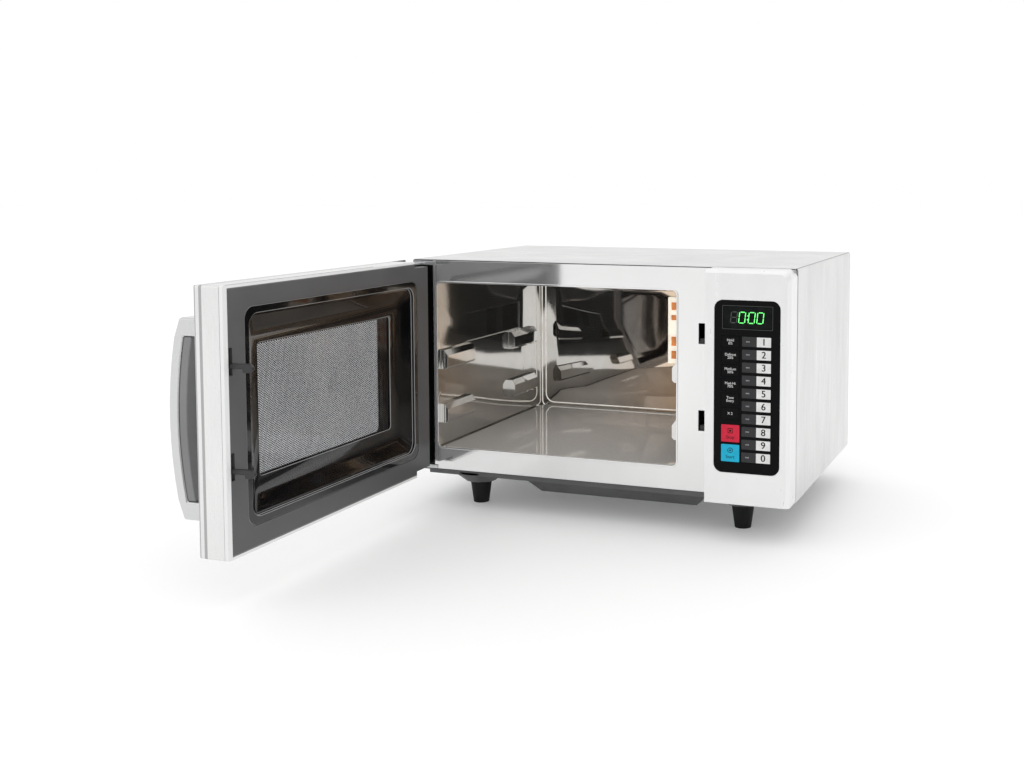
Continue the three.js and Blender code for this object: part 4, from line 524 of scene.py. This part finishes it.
# In millimetres; a node that isn't named keeps its sharp edges.
KEY_ROUNDING = 0.12
EDGE_ROUNDING = {
    "control_panel_housing": 0.8, "handle_bow": 2.2, "handle_grip": 1.6, "door_inner_panel": 0.5,
    "choke_cover": 0.7, "latch_lever": 0.5, "lamp_cover": 0.6, "ceramic_floor": 0.8, "door_skin": 0.4,
    "keypad_overlay": 0.12, "front_plate": 0.35, "foot_front_left": 0.7, "foot_front_right": 0.7,
    "foot_rear_left": 0.7, "foot_rear_right": 0.7, "hinge_bracket_upper": 0.3,
    "hinge_bracket_lower": 0.3, "cavity_liner": 0.5, "cavity_back_wall": 0.5, "outer_cover": 0.25,
    "base_plate": 0.8, "magnetron": 0.3, "transformer": 0.8, "capacitor": 0.8, "fan_shroud": 0.4,
    "fan_blade": 0.2, "latch_bracket": 0.4, "cable_gland": 0.4, "waveguide": 0.4,
    "control_board": 0.3, "filter_board": 0.3, "interlock_switch_upper": 0.4,
    "interlock_switch_lower": 0.4, "stirrer_antenna": 0.2,
}


def soften_nodes():
    """Rounds every node's edges; those of the door's black recess get a lighter grey, a painted
    highlight.
    """
    for name, node in NODES.items():
        size = EDGE_ROUNDING.get(name, KEY_ROUNDING if name.startswith("key_") else 0.0)
        soften(node, size * MM)
    recess = NODES["choke_cover"]
    # The recess's rounded edges take the lighter grey, a painted highlight.
    recess.data.materials.append(MATERIALS["painted_edge_highlight"])
    recess.modifiers["edges"].material = 1


# ---------------------------------------------------------------- mesh helpers
def make_piece(name, vertices, faces, material, body, slot):
    mesh = bpy.data.meshes.new(name)
    mesh.from_pydata(vertices, [], faces)
    mesh.validate()
    mesh.update()
    piece = bpy.data.objects.new(name, mesh)
    bpy.context.scene.collection.objects.link(piece)
    piece.data.materials.append(MATERIALS[material])
    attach(piece, body)
    return piece


def rounded_points(u0, u1, v0, v1, radius, steps=5):
    """A rounded rectangle as (u, v) points, anticlockwise."""
    points = []
    corners = [(u1 - radius, v0 + radius, -90), (u1 - radius, v1 - radius, 0),
               (u0 + radius, v1 - radius, 90), (u0 + radius, v0 + radius, 180)]
    for centre_u, centre_v, start in corners:
        for step in range(steps + 1):
            angle = math.radians(start + 90 * step / steps)
            points.append((centre_u + radius * math.cos(angle), centre_v + radius * math.sin(angle)))
    return points


def facing_front(points, y_front, thickness):
    """A thin raised shape facing -Y from (x, z) points given anticlockwise as seen from the front."""
    count = len(points)
    vertices = [(x, y_front, z) for x, z in points] + [(x, y_front + thickness, z) for x, z in points]
    faces = [list(range(count)), list(range(2 * count - 1, count - 1, -1))]
    for i in range(count):
        j = (i + 1) % count
        faces.append([i, i + count, j + count, j])
    return vertices, faces


def merge_shapes(shapes):
    vertices = []
    faces = []
    for shape_vertices, shape_faces in shapes:
        start = len(vertices)
        vertices.extend(shape_vertices)
        faces.extend([[index + start for index in face] for face in shape_faces])
    return vertices, faces


def box_shape(x0, x1, y0, y1, z0, z1):
    vertices = [(x, y, z) for x in (x0, x1) for y in (y0, y1) for z in (z0, z1)]
    faces = [[0, 1, 3, 2], [4, 6, 7, 5], [0, 4, 5, 1], [2, 3, 7, 6], [0, 2, 6, 4], [1, 5, 7, 3]]
    return vertices, faces


def circle_points(x, z, radius, count):
    turns = [2 * math.pi * i / count for i in range(count)]
    return [(x + radius * math.cos(turn), z + radius * math.sin(turn)) for turn in turns]


def ring_shape(outer, inner, y_front, thickness):
    """A thin raised outline between two point lists of the same length."""
    count = len(outer)
    vertices = []
    for y in (y_front, y_front + thickness):
        vertices.extend([(x, y, z) for x, z in outer])
        vertices.extend([(x, y, z) for x, z in inner])
    faces = []
    for i in range(count):
        j = (i + 1) % count
        faces.append([i, j, count + j, count + i])
        faces.append([2 * count + j, 2 * count + i, 3 * count + i, 3 * count + j])
        faces.append([j, i, 2 * count + i, 2 * count + j])
        faces.append([count + i, count + j, 3 * count + j, 3 * count + i])
    return vertices, faces


def rounded_ring(bounds, radius, width, inner_radius, y_front, thickness, steps=5):
    """A raised outline of even width along the inside of a rounded rectangle (u0, u1, v0, v1)."""
    u0, u1, v0, v1 = bounds
    outer = rounded_points(u0, u1, v0, v1, radius, steps)
    inner = rounded_points(u0 + width, u1 - width, v0 + width, v1 - width, inner_radius, steps)
    return ring_shape(outer, inner, y_front, thickness)


def around(x, z, half):
    """The bounds of a square, as rounded_points and rounded_ring take them."""
    return x - half, x + half, z - half, z + half


# ---------------------------------------------------------------- printing on the keys
PRINT = 0.05 * MM


def word(name, text, size, x, y, z, material, body, slot, bold=0.0):
    """Generic printed text on a front face, centred on x and z; bold doubles each stroke sideways."""
    curve = bpy.data.curves.new(name, "FONT")
    curve.body = text
    curve.size = size
    curve.align_x = "CENTER"
    curve.align_y = "CENTER"
    curve.extrude = PRINT / 2
    curve.space_line = 0.85
    source = bpy.data.objects.new(name + "_curve", curve)
    bpy.context.scene.collection.objects.link(source)
    bpy.context.view_layer.update()
    graph = bpy.context.evaluated_depsgraph_get()
    letters = bpy.data.meshes.new_from_object(source.evaluated_get(graph))
    bpy.data.objects.remove(source)
    letters.transform(Matrix.Translation((x, y, z)) @ Matrix.Rotation(math.radians(90), 4, "X"))
    corners = [vertex.co.copy() for vertex in letters.vertices]
    sides = [list(face.vertices) for face in letters.polygons]
    shifts = (-bold, bold) if bold > 0 else (0.0,)
    strokes = [([corner + Vector((shift, 0, 0)) for corner in corners], sides) for shift in shifts]
    return make_piece(name, *merge_shapes(strokes), material, body, slot)


MODE_WORDS = {
    "key_hold": "Hold\n0%", "key_defrost": "Defrost\n20%", "key_medium": "Medium\n50%",
    "key_medium_high": "Med-Hi\n70%", "key_time_entry": "Time\nEntry", "key_double": "X 2",
}


def print_number_keys():
    """Each number key's white label with its digit, and three small marks on the dark side."""
    for digit in "1234567890":
        name = "key_" + digit
        low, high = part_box(name)
        face = low.y
        middle = (low.z + high.z) / 2
        split = low.x + (high.x - low.x) * 0.51
        label = facing_front(
            rounded_points(split, high.x - 0.1 * MM, low.z + 0.2 * MM, high.z - 0.2 * MM, 0.3 * MM, 3),
            face - PRINT, PRINT * 1.5)
        make_piece(name + "_label", *label, "ink_white", name, "key_number")
        word(name + "_digit", digit, 11.2 * MM, (split + high.x) / 2, face - 1.7 * PRINT, middle,
             "ink_black", name, "key_number", 0.16 * MM)
        marks = []
        for shift in (-2.4, -0.9, 0.6):
            left = low.x + (split - low.x) * 0.42 + shift * MM
            right = left + 1.1 * MM
            bottom = middle - 0.75 * MM
            top = middle + 0.75 * MM
            corners = [(left, bottom), (right, bottom), (right, top), (left, top)]
            marks.append(facing_front(corners, face - PRINT, PRINT * 1.5))
        make_piece(name + "_mark", *merge_shapes(marks), "ink_grey", name, "key_number")


def print_mode_keys():
    for name, text in MODE_WORDS.items():
        low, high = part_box(name)
        word(name + "_word", text, 4.3 * MM, (low.x + high.x) / 2, low.y - PRINT, (low.z + high.z) / 2,
             "ink_white", name, "key_mode")


def print_action_keys():
    for name, text, slot in (("key_stop", "Stop", "key_red"), ("key_start", "Start", "key_cyan")):
        low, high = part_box(name)
        middle = (low.x + high.x) / 2
        face = low.y - PRINT
        word(name + "_word", text, 5.4 * MM, middle, face, low.z + 5.6 * MM, "ink_black", name, slot)
        icon_z = high.z - 7.0 * MM
        if name == "key_start":
            ring = ring_shape(circle_points(middle, icon_z, 3.2 * MM, 24),
                              circle_points(middle, icon_z, 2.5 * MM, 24), face, PRINT)
            core = circle_points(middle, icon_z, 1.1 * MM, 16)
        else:
            ring = rounded_ring(around(middle, icon_z, 3.0 * MM), 0.5 * MM, 0.7 * MM, 0.3 * MM,
                                face, PRINT, 3)
            core = rounded_points(*around(middle, icon_z, 1.2 * MM), 0.2 * MM, 2)
        icon = merge_shapes([ring, facing_front(core, face, PRINT)])
        make_piece(name + "_icon", *icon, "ink_black", name, slot)


# ---------------------------------------------------------------- display digits
ZERO = "abcdef"
EIGHT = "abcdefg"
SLANT = 0.11


def digit_shapes(left, bottom, width, height, lit, y_front):
    """Slanted seven-segment bars as thin raised shapes."""
    bar = width * 0.15
    half = height / 2
    rows = {"a": height, "g": half, "d": 0.0}
    shapes = []

    def lean(x, z):
        return (left + x + SLANT * z, bottom + z)

    for part in lit:
        if part in rows:
            z = rows[part]
            inset = bar * 0.75
            near = inset + bar / 2
            far = width - inset - bar / 2
            points = [(inset, z), (near, z - bar / 2), (far, z - bar / 2),
                      (width - inset, z), (far, z + bar / 2), (near, z + bar / 2)]
        else:
            x = 0.0 if part in "ef" else width
            z0 = 0.0 if part in "ce" else half
            near = z0 + bar * 0.6
            far = z0 + half - bar * 0.6
            points = [(x, near - bar / 2), (x + bar / 2, near), (x + bar / 2, far),
                      (x, far + bar / 2), (x - bar / 2, far), (x - bar / 2, near)]
        shapes.append(facing_front([lean(x, z) for x, z in points], y_front, PRINT))
    return shapes


def build_display():
    """One dark digit, three lit zeros with a colon, and the thin outline printed round the display."""
    low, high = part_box("display_window")
    face = low.y - PRINT
    height = 12.6 * MM
    width = 7.2 * MM
    bottom = low.z + 6.3 * MM
    starts = [low.x + offset * MM for offset in (8.2, 18.0, 29.4, 39.6)]
    off = digit_shapes(starts[0], bottom, width, height, EIGHT, face)
    make_piece("display_unlit_digit", *merge_shapes(off), "segment_off", "cabinet", "dark_glass")
    lit = []
    for start in starts[1:]:
        lit.extend(digit_shapes(start, bottom, width, height, ZERO, face))
    for z in (bottom + height * 0.32, bottom + height * 0.68):
        centre = starts[1] + width + 3.1 * MM + SLANT * (z - bottom)
        lit.append(facing_front(circle_points(centre, z, 0.75 * MM, 12), face, PRINT))
    make_piece("display_lit_digits", *merge_shapes(lit), "segment_on", "cabinet", "dark_glass")
    reach = 1.4 * MM
    bounds = (low.x - reach, high.x + reach, low.z - reach, high.z + reach)
    overlay_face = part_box("keypad_overlay")[0].y - PRINT
    outline = rounded_ring(bounds, 1.0 * MM, 0.5 * MM, 0.7 * MM, overlay_face, PRINT)
    make_piece("display_outline", *outline, "segment_off", "cabinet", "black_gloss")


# ---------------------------------------------------------------- perforated door screen
SCREEN_COLUMNS = 122
SCREEN_ROWS = 56
SCREEN_MARGIN = 10.5 * MM


def build_screen():
    """The glossy black sheet with staggered round holes over the window."""
    low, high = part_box("door_screen")
    glass_low, glass_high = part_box("door_window")
    x = (low.x + high.x) / 2
    y0 = glass_low.y + SCREEN_MARGIN
    y1 = glass_high.y - SCREEN_MARGIN
    z0 = glass_low.z + SCREEN_MARGIN
    z1 = glass_high.z - SCREEN_MARGIN
    step_y = (y1 - y0) / SCREEN_COLUMNS
    step_z = (z1 - z0) / (SCREEN_ROWS + 0.5)
    radius = 0.37 * min(step_z, step_y * 1.155)
    vertices = []
    faces = []
    for column in range(SCREEN_COLUMNS):
        left = y0 + column * step_y
        start = z0 + (0.5 * step_z if column % 2 else 0.0)
        for row in range(SCREEN_ROWS):
            add_holed_cell(vertices, faces, x, left, start + row * step_z, step_y, step_z, radius)
        filler = z0 if column % 2 else z1 - 0.5 * step_z
        add_rectangle(vertices, faces, x, left, left + step_y, filler, filler + 0.5 * step_z)
    add_rectangle(vertices, faces, x, low.y, y0, low.z, high.z)
    add_rectangle(vertices, faces, x, y1, high.y, low.z, high.z)
    add_rectangle(vertices, faces, x, y0, y1, low.z, z0)
    add_rectangle(vertices, faces, x, y0, y1, z1, high.z)
    screen = make_piece("perforated_screen", vertices, faces, "screen_sheet", "door", "screen_sheet")
    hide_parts("door_screen")


def add_rectangle(vertices, faces, x, y0, y1, z0, z1):
    start = len(vertices)
    vertices.extend([(x, y0, z0), (x, y1, z0), (x, y1, z1), (x, y0, z1)])
    faces.append([start, start + 1, start + 2, start + 3])


def add_holed_cell(vertices, faces, x, y, z, width, height, radius):
    """One rectangle of sheet with an eight-sided hole in its middle."""
    start = len(vertices)
    vertices.extend([(x, y, z), (x, y + width, z), (x, y + width, z + height), (x, y, z + height)])
    for i in range(8):
        angle = math.radians(-112.5 + 45 * i)
        around_y = y + width / 2 + radius * math.cos(angle)
        around_z = z + height / 2 + radius * math.sin(angle)
        vertices.append((x, around_y, around_z))
    for side in range(4):
        corner = start + side
        following = start + (side + 1) % 4
        first = start + 4 + 2 * side
        second = first + 1
        third = start + 4 + (2 * side + 2) % 8
        faces.append([corner, following, second, first])
        faces.append([following, third, second])


# ---------------------------------------------------------------- details in the cavity
def disc_on_wall(x, y, z, radius, count=10):
    """A shallow dark disc lying on a wall that faces +X."""
    vertices = [(x, y + across, z + up) for across, up in circle_points(0.0, 0.0, radius, count)]
    return vertices, [list(range(count))]


VENT_FIELDS = ((146.75 * MM, 176.75 * MM), (197.75 * MM, 254.75 * MM))
VENT_BOTTOM = 151.8 * MM
VENT_ROWS = 12
VENT_STEP = 4.4 * MM
VENT_ROW_STEP = 3.0 * MM
VENT_RADIUS = 1.15 * MM


def build_vents():
    """Two fields of staggered dark discs in the pressed patch of the left wall, standing for its vent
    holes; their black is painted shade.
    """
    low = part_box("cavity_liner")[0]
    wall = low.x + LINER_SHEET + PRINT
    shapes = []
    for start, end in VENT_FIELDS:
        for row in range(VENT_ROWS):
            stagger = 0.5 if row % 2 else 0.0
            z = low.z + VENT_BOTTOM + row * VENT_ROW_STEP
            for column in range(round((end - start) / VENT_STEP)):
                y = low.y + start + (column + stagger) * VENT_STEP
                shapes.append(disc_on_wall(wall, y, z, VENT_RADIUS))
    make_piece("wall_vent_holes", *merge_shapes(shapes), "hole_black", "cabinet", "polished_steel")


BACK_WALL_FLANGE = 7 * MM
BEAD_WIDTH = 1.3 * MM
BEAD_HEIGHT = 0.6 * MM


def build_back_wall_beads():
    """Two raised strips on the back wall's folds, at the cavity's corner and round its pressed field;
    their glow is a painted highlight.
    """
    low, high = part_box("cavity_back_wall")
    face = high.y - LINER_SHEET - BEAD_HEIGHT
    rings = []
    for inset, radius in ((1.2 * MM, 9.0 * MM), (7.4 * MM, 14.0 * MM)):
        margin = BACK_WALL_FLANGE + inset
        bounds = (low.x + margin, high.x - margin, low.z + margin, high.z - margin)
        inner_radius = radius - BEAD_WIDTH
        rings.append(rounded_ring(bounds, radius, BEAD_WIDTH, inner_radius, face, BEAD_HEIGHT, 6))
    make_piece("back_wall_beads", *merge_shapes(rings), "bright_edge", "cabinet", "polished_steel")


LAMP_SHADE_INSET = 2.2 * MM


def build_lamp_shade():
    """The amber sheet that shows behind the openings of the lamp cover."""
    low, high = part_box("lamp_cover")
    inset = LAMP_SHADE_INSET
    sheet = box_shape(low.x + inset, high.x - inset, low.y + 2.4 * MM, low.y + 2.7 * MM,
                      low.z + inset, high.z - inset)
    make_piece("lamp_shade", *sheet, "amber", "cabinet", "lamp_glass")


# ---------------------------------------------------------------- studio
def add_camera():
    data = bpy.data.cameras.new("camera")
    data.sensor_width = 36.0
    data.lens = 43.316
    data.shift_x = -0.125
    data.shift_y = -0.1113
    data.clip_end = 60.0
    camera = bpy.data.objects.new("camera", data)
    camera.location = (0.58872, -1.38001, 0.42968)
    camera.rotation_euler = (math.radians(85.7495), math.radians(-0.07), math.radians(19.6294))
    bpy.context.scene.collection.objects.link(camera)
    bpy.context.scene.camera = camera


def stage_plane(name, corners, material, seen=True):
    """One flat sheet of the studio. An unseen one shows only in reflections and throws no shadow."""
    mesh = bpy.data.meshes.new(name)
    mesh.from_pydata(corners, [], [[0, 1, 2, 3]])
    plane = bpy.data.objects.new(name, mesh)
    plane.data.materials.append(MATERIALS[material])
    plane.visible_camera = seen
    plane.visible_diffuse = seen
    plane.visible_shadow = seen
    bpy.context.scene.collection.objects.link(plane)
    return plane


def area_light(name, location, target, size, power, colour=(1.0, 1.0, 1.0)):
    data = bpy.data.lights.new(name, "AREA")
    data.shape = "RECTANGLE"
    data.size, data.size_y = size
    data.energy = power
    data.color = colour
    light = bpy.data.objects.new(name, data)
    light.location = location
    direction = Vector(target) - Vector(location)
    light.rotation_euler = direction.to_track_quat("-Z", "Y").to_euler()
    bpy.context.scene.collection.objects.link(light)
    return light


FLOOR_REACH = 14.0
CLOTH_HEIGHT = 2 * MM


def hide_from_camera(light):
    """Keeps a small light from showing as a bright panel, straight or mirrored."""
    light.visible_camera = False
    light.visible_glossy = False


def build_studio():
    """A white room with two soft lights, a small lamp in the cavity and a faint fill over its floor."""
    world = bpy.data.worlds.new("studio")
    world.use_nodes = True
    background = world.node_tree.nodes["Background"]
    background.inputs["Color"].default_value = (1.0, 1.0, 1.0, 1.0)
    background.inputs["Strength"].default_value = 1.0
    bpy.context.scene.world = world
    bpy.context.scene.view_settings.view_transform = "Standard"
    reach = FLOOR_REACH
    corners = [(-reach, -reach, 0), (reach, -reach, 0), (reach, reach, 0), (-reach, reach, 0)]
    stage_plane("floor", corners, "studio_floor")
    # Dark cloth in front of the oven gives the polished sheet something dark to show.
    corners = [(0.02, -4.0), (3.0, -4.0), (3.0, -0.95), (0.30, -0.95)]
    stage_plane("dark_floor", [(x, y, CLOTH_HEIGHT) for x, y in corners], "studio_dark", False)
    corners = [(0.1, -3.6, 0.0), (3.6, -2.6, 0.0), (3.6, -2.6, 2.2), (0.1, -3.6, 2.2)]
    stage_plane("dark_wall", corners, "studio_dark", False)
    area_light("top", (0.0, -0.3, 2.6), (0.0, 0.0, 0.0), (3.4, 3.4), 7.0)
    area_light("left", (-2.6, -2.0, 1.5), (0.0, 0.0, 0.2), (2.2, 2.0), 4.0)
    cover_low, cover_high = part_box("lamp_cover")
    middle = (cover_low + cover_high) / 2
    place = (middle.x, cover_low.y - 2 * MM, middle.z)
    towards = (middle.x, cover_low.y - 1.0, middle.z - 0.25)
    glow = area_light("cavity_glow", place, towards, (0.03, 0.09), 0.04, (1.0, 0.66, 0.42))
    hide_from_camera(glow)
    plate_low, plate_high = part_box("ceramic_floor")
    centre = (plate_low + plate_high) / 2
    place = (centre.x, centre.y, centre.z + 0.2)
    fill = area_light("cavity_fill", place, centre, (0.24, 0.24), 0.22, (1.0, 0.98, 0.96))
    hide_from_camera(fill)


# ---------------------------------------------------------------- making
add_camera()
mark_door_edge()
mark_casing()
warm_back_wall()
dress_nodes()
soften_nodes()
print_number_keys()
print_mode_keys()
print_action_keys()
build_display()
build_screen()
build_vents()
build_back_wall_beads()
build_lamp_shade()
build_studio()
